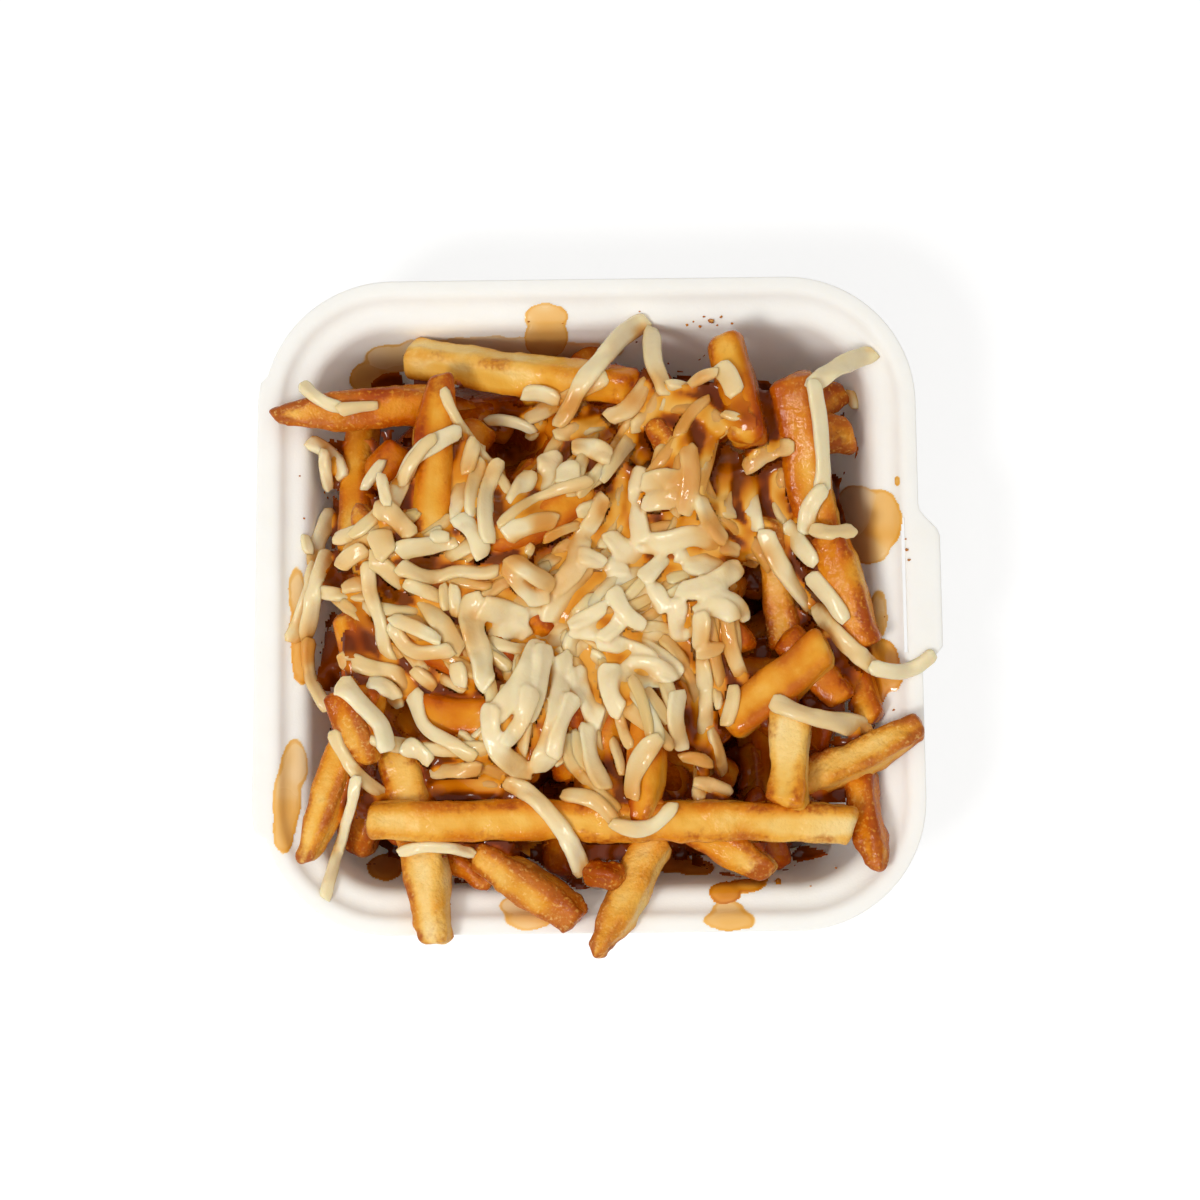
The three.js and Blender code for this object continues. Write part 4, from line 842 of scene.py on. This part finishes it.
def sheet_mesh():
    """The melted sheet under the shreds of the middle, draped over the fries: a wavy-edged disc as
    high as 0.55 of the mean and 0.45 of the most round each place, thinning to its edge by
    sqrt(1 - ring^6)."""
    angle = np.linspace(0, 2 * math.pi, SHEET_SPOKES, endpoint=False)
    outline = 0.84
    for size, waves, turned in ((0.09, 3, 0.6), (0.08, 2, -1.2)):
        outline = outline + size * np.cos(waves * angle + turned)
    outline = outline + 0.07 * np.sin(5 * angle) + 0.05 * np.sin(9 * angle + 1)
    top, low = [], []
    for ring in np.linspace(0.02, 1, SHEET_RINGS):
        x = SHEET_X + SHEET_REACH_X * ring * outline * np.cos(angle)
        y = SHEET_Y + SHEET_REACH_Y * ring * outline * np.sin(angle)
        near = np.array([read_grid(grid, x + dx, y + dy, FIELD_STEP) for dx in (-2, 0, 2) for dy in (-2, 0, 2)])
        z = 0.55 * near.mean(0) + 0.45 * near.max(0) - SHEET_SINK
        half = SHEET_THICK / 2 * math.sqrt(max(0.0, 1 - ring ** 6)) + 0.1
        top.append(np.column_stack([x, y, z + half]))
        low.append(np.column_stack([x, y, z - half]))
    return np.vstack(low[::1] + top[::-1]), skin(2 * SHEET_RINGS, SHEET_SPOKES)


# Shreds of the layer below, seen between the others: spread over the middle of the heap in a
# spiral, most of them lying the same way as their neighbours.
UNDER_SHREDS, UNDER_AT, UNDER_REACH = 170, (-7, 1), (46, 45)
# Which way the shreds lie about a place: x, y, degrees from +X.
FLOW = [(-45, -5, -35), (-40, 16, 20), (-28, 28, 100), (-44, 30, 55), (-50, -22, -25), (-30, -15, -40),
        (-20, -28, 70), (-6, -30, 95), (8, -22, 120), (12, -12, 160), (28, -8, 100), (17, 8, 20),
        (30, 12, 0), (5, 30, 60), (24, 24, 80), (34, 36, 80), (-10, 5, 45), (-14, 18, 40), (-2, 44, 50),
        (38, 10, 110), (-30, -40, -15), (-2, -46, -20), (20, -36, 100), (20, 46, 50), (-22, 4, 20)]
FLOW_AT, FLOW_TURN = np.array(FLOW, float)[:, :2], np.radians(np.array(FLOW, float)[:, 2])
FLOW_SPREAD, FLOW_PULL = 90, 0.25


def flow_at(x, y):
    """The way of the flow, weighing the places near by with e^-(distance^2 / 90); a line has no
    front, so angles are doubled."""
    near = np.exp(-((x - FLOW_AT[:, 0]) ** 2 + (y - FLOW_AT[:, 1]) ** 2) / FLOW_SPREAD) + 1e-9
    return math.atan2((near * np.sin(2 * FLOW_TURN)).sum(), (near * np.cos(2 * FLOW_TURN)).sum()) / 2


# Fries of the upper layer that stay bare: x, y, radius.
BARE = [(-20, 15, 3.5), (-14, 18, 4), (-7, 22, 3.5), (-37, -25, 6), (-29, -25.5, 4.5), (12.5, -38, 5),
        (11.5, -46, 5.5), (50, -14, 7), (42, -20, 6.5), (34, -27, 4.5), (-36, 22, 3.5), (-36, 30, 4.5),
        (-36, 38, 4.5), (36, 42, 6), (33, 50, 6), (-4, -27, 2.5), (20, -30, 3), (-46, 5, 2.5),
        (44, 0, 5), (-16, -3, 2.5), (-44, -16, 3), (3, 46, 3), (-20, -46, 5), (14, 38, 3)]


def kept_clear(x, y, room):
    """Whether a place is nearer to a hollow than 3/4 of its radius, or to a bare spot than its
    radius, with so much room more."""
    circles = [(hx, hy, radius * 0.75) for hx, hy, radius, _ in HOLLOWS] + BARE
    return any(math.hypot(x - cx, y - cy) < radius + room for cx, cy, radius in circles)


def flowing_shred(x, y, length, slant, curl):
    """A shred that goes with the flow both ways from a place: at each step it turns by a quarter of
    what it is off the flow, and by its own curl."""
    arms = []
    for way in (1, -1):
        front = slant + (0 if way > 0 else math.pi)
        spot, turn, arm = np.array([x, y], float), flow_at(x, y) + front, []
        for _ in range(int(length / 2 / DRAPE_STEP)):
            off = (flow_at(*spot) + front - turn + math.pi / 2) % math.pi - math.pi / 2
            turn += FLOW_PULL * off + curl * way * DRAPE_STEP
            spot = spot + DRAPE_STEP * np.array([math.cos(turn), math.sin(turn)])
            if kept_clear(*spot, 0.5):
                break
            arm.append(spot)
        arms.append(arm)
    return np.array(arms[1][::-1] + [np.array([x, y], float)] + arms[0])


scatter = np.random.default_rng(12)
below = []
for index in range(UNDER_SHREDS):
    spread = math.sqrt((index + 0.5) / UNDER_SHREDS)
    x = UNDER_AT[0] + UNDER_REACH[0] * spread * math.cos(index * SPIRAL)
    y = UNDER_AT[1] + UNDER_REACH[1] * spread * math.sin(index * SPIRAL)
    length, slant, curl = scatter.uniform(16, 38), scatter.normal(0, 0.3), scatter.normal(0, 0.035)
    wide = scatter.uniform(2.7, 3.9)
    if kept_clear(x, y, 1.5):
        continue
    flat = flowing_shred(x, y, length, slant, curl)
    if len(flat) >= 6:
        below.append(strip(*drape(flat, wide, 4.0, 1.2, 700 + index), index))
sheet = sheet_mesh()
# Melted shreds are made a little fuller, because smoothing takes that off again.
melted = [strip(*drape(plan(row, 100 + index), row[5], 4.5, 0.8, 100 + index), index, MELT_FULLER)
          for index, row in enumerate(MELTED_SHREDS)]
loose = [strip(*drape(plan(row, 300 + index), row[5], 7.0, 0.5, 300 + index), index)
         for index, row in enumerate(LOOSE_SHREDS)]

# Where gravy has run over the cheese: x, y, radius, depth of the film.
GRAVY_RUNS = [
    (28, 26, 9, 1.2), (36, 33, 8, 1.3), (22, 38, 8, 1.1), (30, 15, 6, .6), (38, 8, 5, .7), (-2, 42, 9, .8),
    (8, 50, 6, .6), (0, 22, 6, 1.0), (-12, 14, 7, 1.3), (-45, 18, 6, .25), (-40, 5, 7, .5), (-35, -5, 8, .35),
    (-30, -8, 6, .4), (-56, 8, 7, .5), (-64, -12, 6, 1.1), (-18, -30, 5, .2), (-8, -33, 6, .2),
    (12, -40, 8, .5), (27, -36, 8, .9), (30, -10, 6, .7), (-26, -40, 9, .7), (-28, 28, 6, .3),
    (-20, 30, 7, .5), (-4, -46, 7, .5), (8, -48, 6, .6), (-40, -16, 7, .6), (17, -12, 4, .2),
    (-20, 5, 5, .8), (24, 48, 8, .9), (45, 27, 4, .35), (57, 2, 4, .25), (-6, 4, 5, .5), (38, -2, 5, .8),
]


def gravy_run(points, seed):
    """Depth of the gravy that has run over the cheese at each point: a bell for each run, as it looks
    from the eye, times 1 + 1.3 noise."""
    share = (EYE[2] - RIM_HEIGHT) / (EYE[2] - points[:, 2])
    x, y = (EYE[:2] + (points[:, :2] - EYE[:2]) * share[:, None]).T
    total = 0.02 + sum(depth * bell(x, y, rx, ry, radius) for rx, ry, radius, depth in GRAVY_RUNS)
    return total * np.clip(1 + 1.3 * lumps(points, 5, seed), 0.1, 2.5)


cheese_stuff, tree, principled = shader(
    "melted_cheese", IOR=1.4, Subsurface_Weight=0.5, Subsurface_Radius=(1.0, 0.7, 0.35), Subsurface_Scale=0.0025)
creamy = calc(tree, "ADD", calc(tree, "MULTIPLY", grain(tree, 4, 3.0), 0.6),
              calc(tree, "MULTIPLY", value_of(tree, "shade"), 0.45))
ivory = mix(tree, creamy, srgb(242, 230, 196), srgb(230, 206, 154))
soaked = calc(tree, "MULTIPLY", value_of(tree, "film"), 0.9, clamp=True)
caramel = mix(tree, soaked, ivory, srgb(220, 172, 114))
coated = under_gravy(tree, caramel, calc(tree, "MULTIPLY", value_of(tree, "film"), 0.22))
wire(tree, principled, Base_Color=coated["Color"], Roughness=ranged(tree, coated["Wet"], 0.0, 1.0, 0.22, 0.1),
     Normal=bump(tree, grain(tree, 1.6, 3.0), 0.0004, 0.3))


def melted_together(points, faces):
    """Parts that touch made one skin by a remesh, with their joins smoothed."""
    raw = bpy.data.meshes.new("melt")
    raw.from_pydata((points * MM).tolist(), [], faces)
    soft = bpy.data.objects.new("melt", raw)
    bpy.context.scene.collection.objects.link(soft)
    remesh = soft.modifiers.new("remesh", "REMESH")
    remesh.mode, remesh.voxel_size = "VOXEL", MELT_VOXEL * MM
    smooth = soft.modifiers.new("smooth", "SMOOTH")
    smooth.factor, smooth.iterations = 0.5, MELT_ROUNDS
    with bpy.context.temp_override(object=soft, active_object=soft):
        bpy.ops.object.modifier_apply(modifier="remesh")
        bpy.ops.object.modifier_apply(modifier="smooth")
    out = np.empty(len(soft.data.vertices) * 3, np.float32)
    soft.data.vertices.foreach_get("co", out)
    out_faces = [list(p.vertices) for p in soft.data.polygons]
    bpy.data.objects.remove(soft)
    return out.reshape(-1, 3).astype(float) / MM, out_faces


melt_points, melt_faces = melted_together(*joined([strips_mesh(melted), sheet]))
loose_points, loose_faces = strips_mesh(below + loose)
loose_points += 0.1 * np.column_stack([lumps(loose_points + 50 * k, 2.2, 21) for k in range(3)])
strip_sizes = [rings.shape[0] * rings.shape[1] for rings in below + loose]
each_shred = np.repeat(np.arange(len(strip_sizes)), strip_sizes)
loose_shade = np.random.default_rng(3).uniform(0, 1, len(strip_sizes))[each_shred]
melt_film, loose_film = gravy_run(melt_points, 41), gravy_run(loose_points, 42)
loose_film += 0.2 * (loose_shade > 0.7) + np.where(each_shred < len(below), 0.1 + 0.25 * loose_shade, 0)
cheese = piece("cheese_melted", melt_points, melt_faces, cheese_stuff, "melted_cheese",
               film=melt_film, shade=0.35 + 0.35 * lumps(melt_points, 6, 44))
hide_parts("cheese")
shreds = piece("cheese_shreds", loose_points, loose_faces, cheese_stuff, "melted_cheese",
               film=loose_film, shade=loose_shade)

# ---------------------------------------------------------------- gravy between things
# Brown gravy fills the gaps between fries and shreds and stands in them as glossy pools. What lies
# deep between its neighbours gets a darker film: partly gravy that has run in, partly painted shade.
# The imported model's own pool shows at the bottom.
NARROW_GAP, BROAD_GAP, GAP_DEPTH, CREVICE = 2.0, 5.0, 0.4, 2.5
# How full the gaps are: x, y, radius, share of the broad filling, extra level, extra depth of colour.
POOLS = [(-57, -9, 7, .9, 2.8, 2.0), (37, 40, 6, .9, 2.6, .7), (-20, 20, 9, .3, .4, 0),
         (31, 27, 11, .5, 1.9, -.8), (-8, 44, 10, .3, .6, -.2), (-46, 45, 8, .3, .2, 0),
         (26, -36, 7, .3, .5, 0), (58, -16, 7, .4, .2, 0), (-30, -40, 10, .3, .4, 0),
         (0, -48, 8, .3, .4, 0), (20, 50, 8, .4, .6, 0), (-50, 56, 8, .5, .2, 0),
         (-14, 17, 6, .5, 1.0, 0), (2, 20, 5, .4, .9, -.2), (20, 38, 8, .4, 1.4, -.4),
         (-42, 2, 9, .2, .4, 0), (33, 0, 4, .2, .5, 0), (-63, -19, 6, .9, 1.5, .8), (-62, 4, 5, .8, .8, .6)]
LEAST_SHARE, MOST_SHARE = 0.06, 0.95
WALL_ROOM = 10                    # the sheet keeps so far in from the flange's edge
CURTAIN = 1.3                     # where it would fall so far in one step of the grid, there is no sheet


def closing(heights, radius):
    """The surface that a disc of that radius can't dip below: the most within the radius of each
    cell, and then the least of that."""
    reach = int(round(radius / FIELD_STEP))
    side = heights.shape[0]
    for choose in (np.max, np.min):
        wide = np.pad(heights, reach, "edge")
        heights = choose([wide[reach + i:reach + i + side, reach + j:reach + j + side]
                          for i in range(-reach, reach + 1) for j in range(-reach, reach + 1)
                          if i * i + j * j <= reach * reach], axis=0)
    return heights


def blurred(heights, rounds):
    """Each cell half itself and an eighth of each neighbour, so many times."""
    for _ in range(rounds):
        wide = np.pad(heights, 1, "edge")
        heights = (wide[:-2, 1:-1] + wide[2:, 1:-1] + wide[1:-1, :-2] + wide[1:-1, 2:] + 4 * wide[1:-1, 1:-1]) / 8
    return heights


def blurred_within(heights, mask, rounds):
    """The blurred heights of the masked cells alone: blur of height * mask, over blur of mask."""
    return blurred(heights * mask, rounds) / np.maximum(blurred(mask, rounds), 1e-3)


top_grid = heights_of(*joined([(tray_points, tray_faces), (heap_points, heap_faces),
                               (melt_points, melt_faces), (loose_points, loose_faces)]))
crevice_top = blurred(closing(top_grid, CREVICE), 3)


def crevice(points):
    """How deep a point lies below the surface around it, less 0.4 and from 0 to 3."""
    return np.clip(read_grid(crevice_top, points[:, 0], points[:, 1], FIELD_STEP) - points[:, 2] - 0.4, 0, 3)


# Points that lie deep below the surface around them get a thicker film, the deeper the darker: partly gravy that has
# run in, partly painted shade in crevices and along the lower flanks of the shreds.
set_values(fries, film=np.clip(heap_values["film"] + 0.12 * np.clip(crevice(heap_points) - 0.8, 0, 3), 0, 2.2))
set_values(cheese, film=np.clip(melt_film + 0.6 * np.minimum(crevice(melt_points), 1.5), 0, 2))
set_values(shreds, film=np.clip(loose_film + 0.6 * np.minimum(crevice(loose_points), 1.5), 0, 2))

# The level is the narrow closing, and more of the broad one where the gaps are fuller.
axis = np.arange(top_grid.shape[0]) * FIELD_STEP - FIELD_HALF
gx, gy = np.meshgrid(axis, axis)
share, lift, deeper = [least + sum(row[column] * bell(gx, gy, *row[:3]) for row in POOLS)
                       for least, column in ((LEAST_SHARE, 3), (0.0, 4), (0.0, 5))]
share = np.clip(share, 0, MOST_SHARE)
wave = lumps(np.column_stack([gx.ravel(), gy.ravel(), 0 * gx.ravel()]), 7, 31).reshape(gx.shape)
cheesy = blurred((top_grid > grid_before + 0.4).astype(float), 12)
narrow, broad = closing(top_grid, NARROW_GAP), closing(top_grid, BROAD_GAP)
level = narrow + share * (broad - narrow)
in_gap = (level - top_grid > GAP_DEPTH).astype(float)
by_gap = blurred(in_gap, 5) > 0.02
# Beside what stands above the gravy the level goes on as it is; past a free edge it falls away.
beyond = np.minimum(top_grid, blurred_within(level, in_gap, 5))
level = np.where(in_gap > 0, level, np.where(by_gap, beyond, top_grid))
level = blurred(level, 3) - 1.3 - 0.8 * (1 - cheesy) + lift + 0.45 * wave
level = level - 6 * smoothstep(15.5, 13.5, inset_at(gx, gy) + 3.5 * np.clip(share, 0, 0.8))
film_depth = np.where((inset_at(gx, gy) > WALL_ROOM) & by_gap, level - top_grid, -1.0)

shown = film_depth > 0.0
# Past its edge the sheet goes on level into what it meets: the mean of its neighbours that show.
wide_shown, wide_level = np.pad(shown.astype(float), 1), np.pad(level * shown, 1)
side = level.shape[0]
count, total = [sum(wide[i:i + side, j:j + side] for i in range(3) for j in range(3))
                for wide in (wide_shown, wide_level)]
level_on = np.minimum(level, total / np.maximum(count, 1))
level = np.where(shown, level, np.maximum(level_on, top_grid - 0.6))


def corners_of(cells):
    """A grid's cells as the four corners of each quad between them, anticlockwise."""
    return np.stack([cells[:-1, :-1], cells[:-1, 1:], cells[1:, 1:], cells[1:, :-1]], -1)


keep = corners_of(shown).any(-1) & (np.ptp(corners_of(level), axis=-1) < CURTAIN)
used, quads = np.unique(corners_of(np.arange(side * side).reshape(side, side))[keep], return_inverse=True)
gravy_points = np.column_stack([gx.ravel(), gy.ravel(), level.ravel()])[used]
cheesy_here = np.clip(cheesy.ravel()[used] * 1.3, 0, 1)
wet_depth = blurred_within(np.clip(film_depth, 0, 5), shown.astype(float), 2)
gravy_depth = (0.5 + 1.05 * wet_depth.ravel()[used]) * (1 - 0.2 * cheesy_here) + deeper.ravel()[used]

gravy_stuff, tree, principled = shader("gravy_thick", Roughness=0.1, IOR=1.36, Specular_IOR_Level=0.35)
below_it = mix(tree, value_of(tree, "cheesy"), srgb(214, 152, 62), srgb(232, 192, 124))
wire(tree, principled, Base_Color=under_gravy(tree, below_it, value_of(tree, "film"))["Color"])
piece("gravy_in_gaps", gravy_points, quads.reshape(-1, 4).tolist(), gravy_stuff, "gravy",
      film=np.clip(gravy_depth, 0.25, 3.4), cheesy=cheesy_here)
pool_stuff, tree, principled = shader("gravy_pool", Base_Color=srgb(96, 42, 8), Roughness=0.1)
wire(tree, principled, Normal=bump(tree, grain(tree, 8, 2.0), 0.0006, 0.4))
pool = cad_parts["gravy"]
pool.data.materials.clear()
pool.data.materials.append(pool_stuff)

# ---------------------------------------------------------------- gravy on the tray
# Drips and smears of gravy on the fibre, thin in the middle with a darker rim; one faint film along
# the north wall is partly painted warm shade.
# Each blob as it looks from the eye point: x, y, half width, half height, depth; blobs of one
# stain join.
STAINS = [
    [(-10, 67, 5.2, 3.6, .7), (-10, 62, 5.2, 5.5, .5)],
    [(-46, 57.5, 7, 3.6, .4), (-40, 60, 5, 2.2, .25), (-52, 53, 4, 4, .6)],
    [(67, 18, 5.2, 7.2, .75), (62, 20, 6, 6.5, .3), (64, 12, 5.5, 4.5, .35)],
    [(71.2, 27, .9, 1.3, .6)],
    [(66.5, -14.5, 4.2, 5.2, 1.7), (64, -21, 4, 5, 1.5), (69, -18, 2.4, 4, 1.2), (63, -10, 3.5, 4, 1.3)],
    [(-70.3, -45, 3.4, 9, .55), (-68.5, -37, 3.2, 6, .4), (-71, -52, 2.5, 5, .5)],
    [(-68, 3, 2.2, 6, .5), (-67.5, -6, 2.4, 6, .8), (-67, -13, 2.4, 6, .9)],
    [(29.5, -67.3, 3.7, 2.7, 1.6), (34.5, -65.6, 4.2, 1.7, 1.4), (38.5, -63, 1.6, 2, 1.0)],
    [(30.5, -73.5, 6.2, 2.6, .55), (30, -71, 4, 2.2, .45)],
    [(41.7, -64.8, .9, .8, 1.2)],
    [(-15, -72.5, 5.6, 2.8, .45), (-18, -69.5, 3.8, 2.5, .35)],
    [(-48, -60.5, 4.2, 3.2, .9), (-42, -58.5, 5, 2.6, 1.0)],
    [(23, -61.5, 4.6, 2.0, .9), (17, -60, 5, 2.6, 1.1)],
    # The first stain on the next line, a faint film along the north wall, is partly a thin smear of gravy and partly
    # painted warm shade where the fries shadow the wall.
    [(-6, 58.5, 14, 2.6, .25), (-24, 60.5, 16, 2.2, .2)], [(66, -4, 2.4, 6, .45)],
]
STAIN_STEP, STAIN_ROOM = 0.3, 1.3
tray_tree = BVHTree.FromPolygons(tray_points.tolist(), tray_faces)


def seen_on_tray(x, y):
    """Where the line of sight through x, y in the rim's plane meets the tray, and which way is up
    from the fibre there."""
    way = (Vector((x, y, RIM_HEIGHT)) - Vector(EYE)).normalized()
    hit, normal, _, _ = tray_tree.ray_cast(Vector(EYE), way)
    return hit, normal if hit is None or normal.dot(way) < 0 else -normal


def stain_mesh(blobs, number):
    """A stain's points, faces and depths. A blob is inside by 1 - sqrt((dx / rx)^2 + (dy / ry)^2);
    the stain takes the most of its blobs, with rounded joins and an edge roughened by noise. Its
    depth is the blobs' own, weighed by nearness, deeper at its rim and its lower side."""
    (low_x, low_y), (high_x, high_y) = [
        [choose(b[k] + way * STAIN_ROOM * b[k + 2] for b in blobs) for k in (0, 1)] for choose, way in ((min, -1), (max, 1))]
    ax, ay = np.meshgrid(np.arange(low_x, high_x, STAIN_STEP), np.arange(low_y, high_y, STAIN_STEP))
    flat = np.column_stack([ax.ravel(), ay.ravel(), np.full(ax.size, number * 9.0)])
    inside_by, depth, weight = np.full(ax.size, -9.0), np.zeros(ax.size), np.full(ax.size, 1e-9)
    for bx, by, rx, ry, deep in blobs:
        by_here = 1 - np.sqrt(((flat[:, 0] - bx) / rx) ** 2 + ((flat[:, 1] - by) / ry) ** 2)
        by_here = by_here * min(rx, ry) / 2.5
        inside_by = np.maximum(inside_by, by_here) + 0.08 * np.exp(-(inside_by - by_here) ** 2 / 0.03)
        near = np.exp(np.clip(4 * by_here, -20, 20))
        depth += near * deep
        weight += near
    depth = depth / weight * (1 + 0.3 * lumps(flat, 5, 51))
    inside_by += 0.09 * lumps(flat, 2.6, 52) + 0.05 * lumps(flat, 0.9, 53)
    rim = np.exp(-((inside_by - 0.14) / 0.1) ** 2)
    lower = smoothstep(0.2, -0.4, (flat[:, 1] - np.mean([b[1] for b in blobs])) / 6)
    depth = depth * smoothstep(0.0, 0.12, inside_by) * (0.75 + 0.7 * rim + 0.35 * lower)
    points, kept = [], []
    for index in np.nonzero(inside_by > -0.02)[0]:
        hit, normal = seen_on_tray(flat[index, 0], flat[index, 1])
        if hit is None:
            continue
        rise = 0.06 + 0.3 * min(1.0, max(0.0, inside_by[index]) / 0.5) * min(depth[index], 1.5)
        points.append(np.array(hit + normal * rise))
        kept.append(index)
    numbers = np.full(ax.size, -1)
    numbers[kept] = np.arange(len(kept))
    corner = corners_of(numbers.reshape(ax.shape))
    return np.array(points), corner[(corner >= 0).all(-1)].tolist(), depth[kept]


stains = [stain_mesh(blobs, number) for number, blobs in enumerate(STAINS)]
stain_stuff, tree, principled = shader("gravy_thin")
film = value_of(tree, "film")
damp = mix(tree, calc(tree, "MULTIPLY", film, 2.0, clamp=True), srgb(250, 244, 234), srgb(244, 212, 168))
coated = under_gravy(tree, damp, calc(tree, "MULTIPLY", film, 0.62))
wire(tree, principled, Base_Color=coated["Color"], Roughness=ranged(tree, coated["Wet"], 0.0, 1.0, 0.5, 0.14))
piece("gravy_stains", *joined([stain[:2] for stain in stains]), stain_stuff, "gravy",
      film=np.concatenate([stain[2] for stain in stains]))

# ---------------------------------------------------------------- crumbs
# Bits of crisp crust that have fallen on the rim and the wall of the tray, lumpy and flattish.
# Each as it looks from the eye point: x, y, size.
CRUMBS = [(28.7, 65.7, .9), (31, 66.5, .5), (26, 64.5, .6), (23, 64.8, .5), (33.5, 65, .4), (27, 66.6, .4),
          (24.5, 65.5, .35), (30, 64.6, .35), (73, 11, .55), (73.4, 8.6, .5), (72.8, 13.5, .3),
          (64, -2.5, .5), (66, -7, .45), (63.5, 3.2, .4), (67.5, -4.5, .3), (-14, 66, .35),
          (-6, 65.5, .3), (-66.5, 20, .35), (-67.5, 30, .3), (55, -62, .4), (49, -66, .3),
          (-33, -69, .3), (12, 68, .3), (69, -26, .4)]
CRUMB_RINGS, CRUMB_AROUND = 7, 9


def crumb_points(number, x, y, size):
    """A ball, its radius size * (0.75 + 0.45 noise), half sunk at its place on the tray."""
    polar = np.linspace(0.02, math.pi - 0.02, CRUMB_RINGS)[:, None]
    turn = np.linspace(0, 2 * math.pi, CRUMB_AROUND, endpoint=False)[None, :]
    ball = np.stack([np.sin(polar) * np.cos(turn), np.sin(polar) * np.sin(turn), -np.cos(polar) + 0 * turn], -1)
    ball = ball.reshape(-1, 3)
    ball = ball * (size * (0.75 + 0.45 * lumps(ball * 1.1 + 7 * number, 0.8, 61)))[:, None] * (1, 0.8, 0.6)
    hit, normal = seen_on_tray(x, y)
    return ball + np.array(hit + 0.5 * size * normal)


points, faces = joined([(crumb_points(number, *row), skin(CRUMB_RINGS, CRUMB_AROUND))
                        for number, row in enumerate(CRUMBS)])
each = np.ones(len(points))
piece("crumbs", points, faces, potato, "fried_potato", tone=0.8 * each, brown=0.6 * each, film=0.1 * each, rough=each)

# ---------------------------------------------------------------- camera, light and ground
# The eye looks almost straight down, from just on the near side; the key light comes over the
# near left corner, and the ground is white with a soft shadow.
AIM, DISTANCE, TILT, ROLL, FRAME_WIDTH = Vector((1.9, 0.2, 44.0)), 550.0, math.radians(6.5), math.radians(0.7), 276.8
SENSOR = 36
back = Vector((0, -math.sin(TILT), math.cos(TILT)))
right = Vector((1, 0, 0))
up = back.cross(right)
right, up = (right * math.cos(ROLL) - up * math.sin(ROLL), right * math.sin(ROLL) + up * math.cos(ROLL))
camera = bpy.data.objects.new("camera", bpy.data.cameras.new("camera"))
camera.matrix_world = Matrix.Translation((AIM + back * DISTANCE) * MM) @ Matrix((right, up, back)).transposed().to_4x4()
camera.data.sensor_width = SENSOR
camera.data.lens = SENSOR * DISTANCE / FRAME_WIDTH
camera.data.clip_start = 0.01
bpy.context.scene.collection.objects.link(camera)
bpy.context.scene.camera = camera


def area_light(name, azimuth, elevation, distance, size, power, color=(1, 1, 1)):
    """A square light that shines on the middle of the heap, so many metres off in the direction of
    its azimuth, from +X turning to +Y, and elevation."""
    turn, height = math.radians(azimuth), math.radians(elevation)
    way = Vector((math.cos(height) * math.cos(turn), math.cos(height) * math.sin(turn), math.sin(height)))
    light = bpy.data.objects.new(name, bpy.data.lights.new(name, "AREA"))
    light.data.energy, light.data.size, light.data.color = power, size, color
    light.location = Vector((0, 0, 0.04)) + way * distance
    light.rotation_euler = way.to_track_quat("Z", "Y").to_euler()
    bpy.context.scene.collection.objects.link(light)


area_light("key", 222, 56, 0.9, 0.18, 3.3, (1.0, 0.99, 0.97))
area_light("fill", 262, 66, 1.0, 0.9, 1.2)
# The room is brightest overhead, like one wide soft box: z is the height of a direction, 0 to 1.
OVERHEAD, LOW_DOWN = 0.80, 0.20
world = bpy.data.worlds.new("world")
bpy.context.scene.world = world
world.use_nodes = True
way = add(world.node_tree, "ShaderNodeTexCoord").outputs["Generated"]
height = add(world.node_tree, "ShaderNodeSeparateXYZ", {0: way}).outputs["Z"]
background = world.node_tree.nodes["Background"]
background.inputs["Color"].default_value = (1, 0.985, 0.965, 1)
wire(world.node_tree, background, Strength=ranged(world.node_tree, height, 0.0, 1.0, LOW_DOWN, OVERHEAD))
bpy.context.scene.view_settings.view_transform = "Standard"

FLOOR_HALF, FLOOR_DROP = 5, 0.0002
floor_mesh = bpy.data.meshes.new("floor")
floor_mesh.from_pydata([(FLOOR_HALF * i, FLOOR_HALF * j, 0) for i, j in ((-1, -1), (1, -1), (1, 1), (-1, 1))], [], [(0, 1, 2, 3)])
floor = bpy.data.objects.new("floor", floor_mesh)
floor.location.z = -FLOOR_DROP
bpy.context.scene.collection.objects.link(floor)
ground, tree, principled = shader("ground", Base_Color=(0.45, 0.45, 0.45, 1), Roughness=0.8,
                                  Emission_Color=(1, 1, 1, 1), Emission_Strength=0.62)
floor_mesh.materials.append(ground)
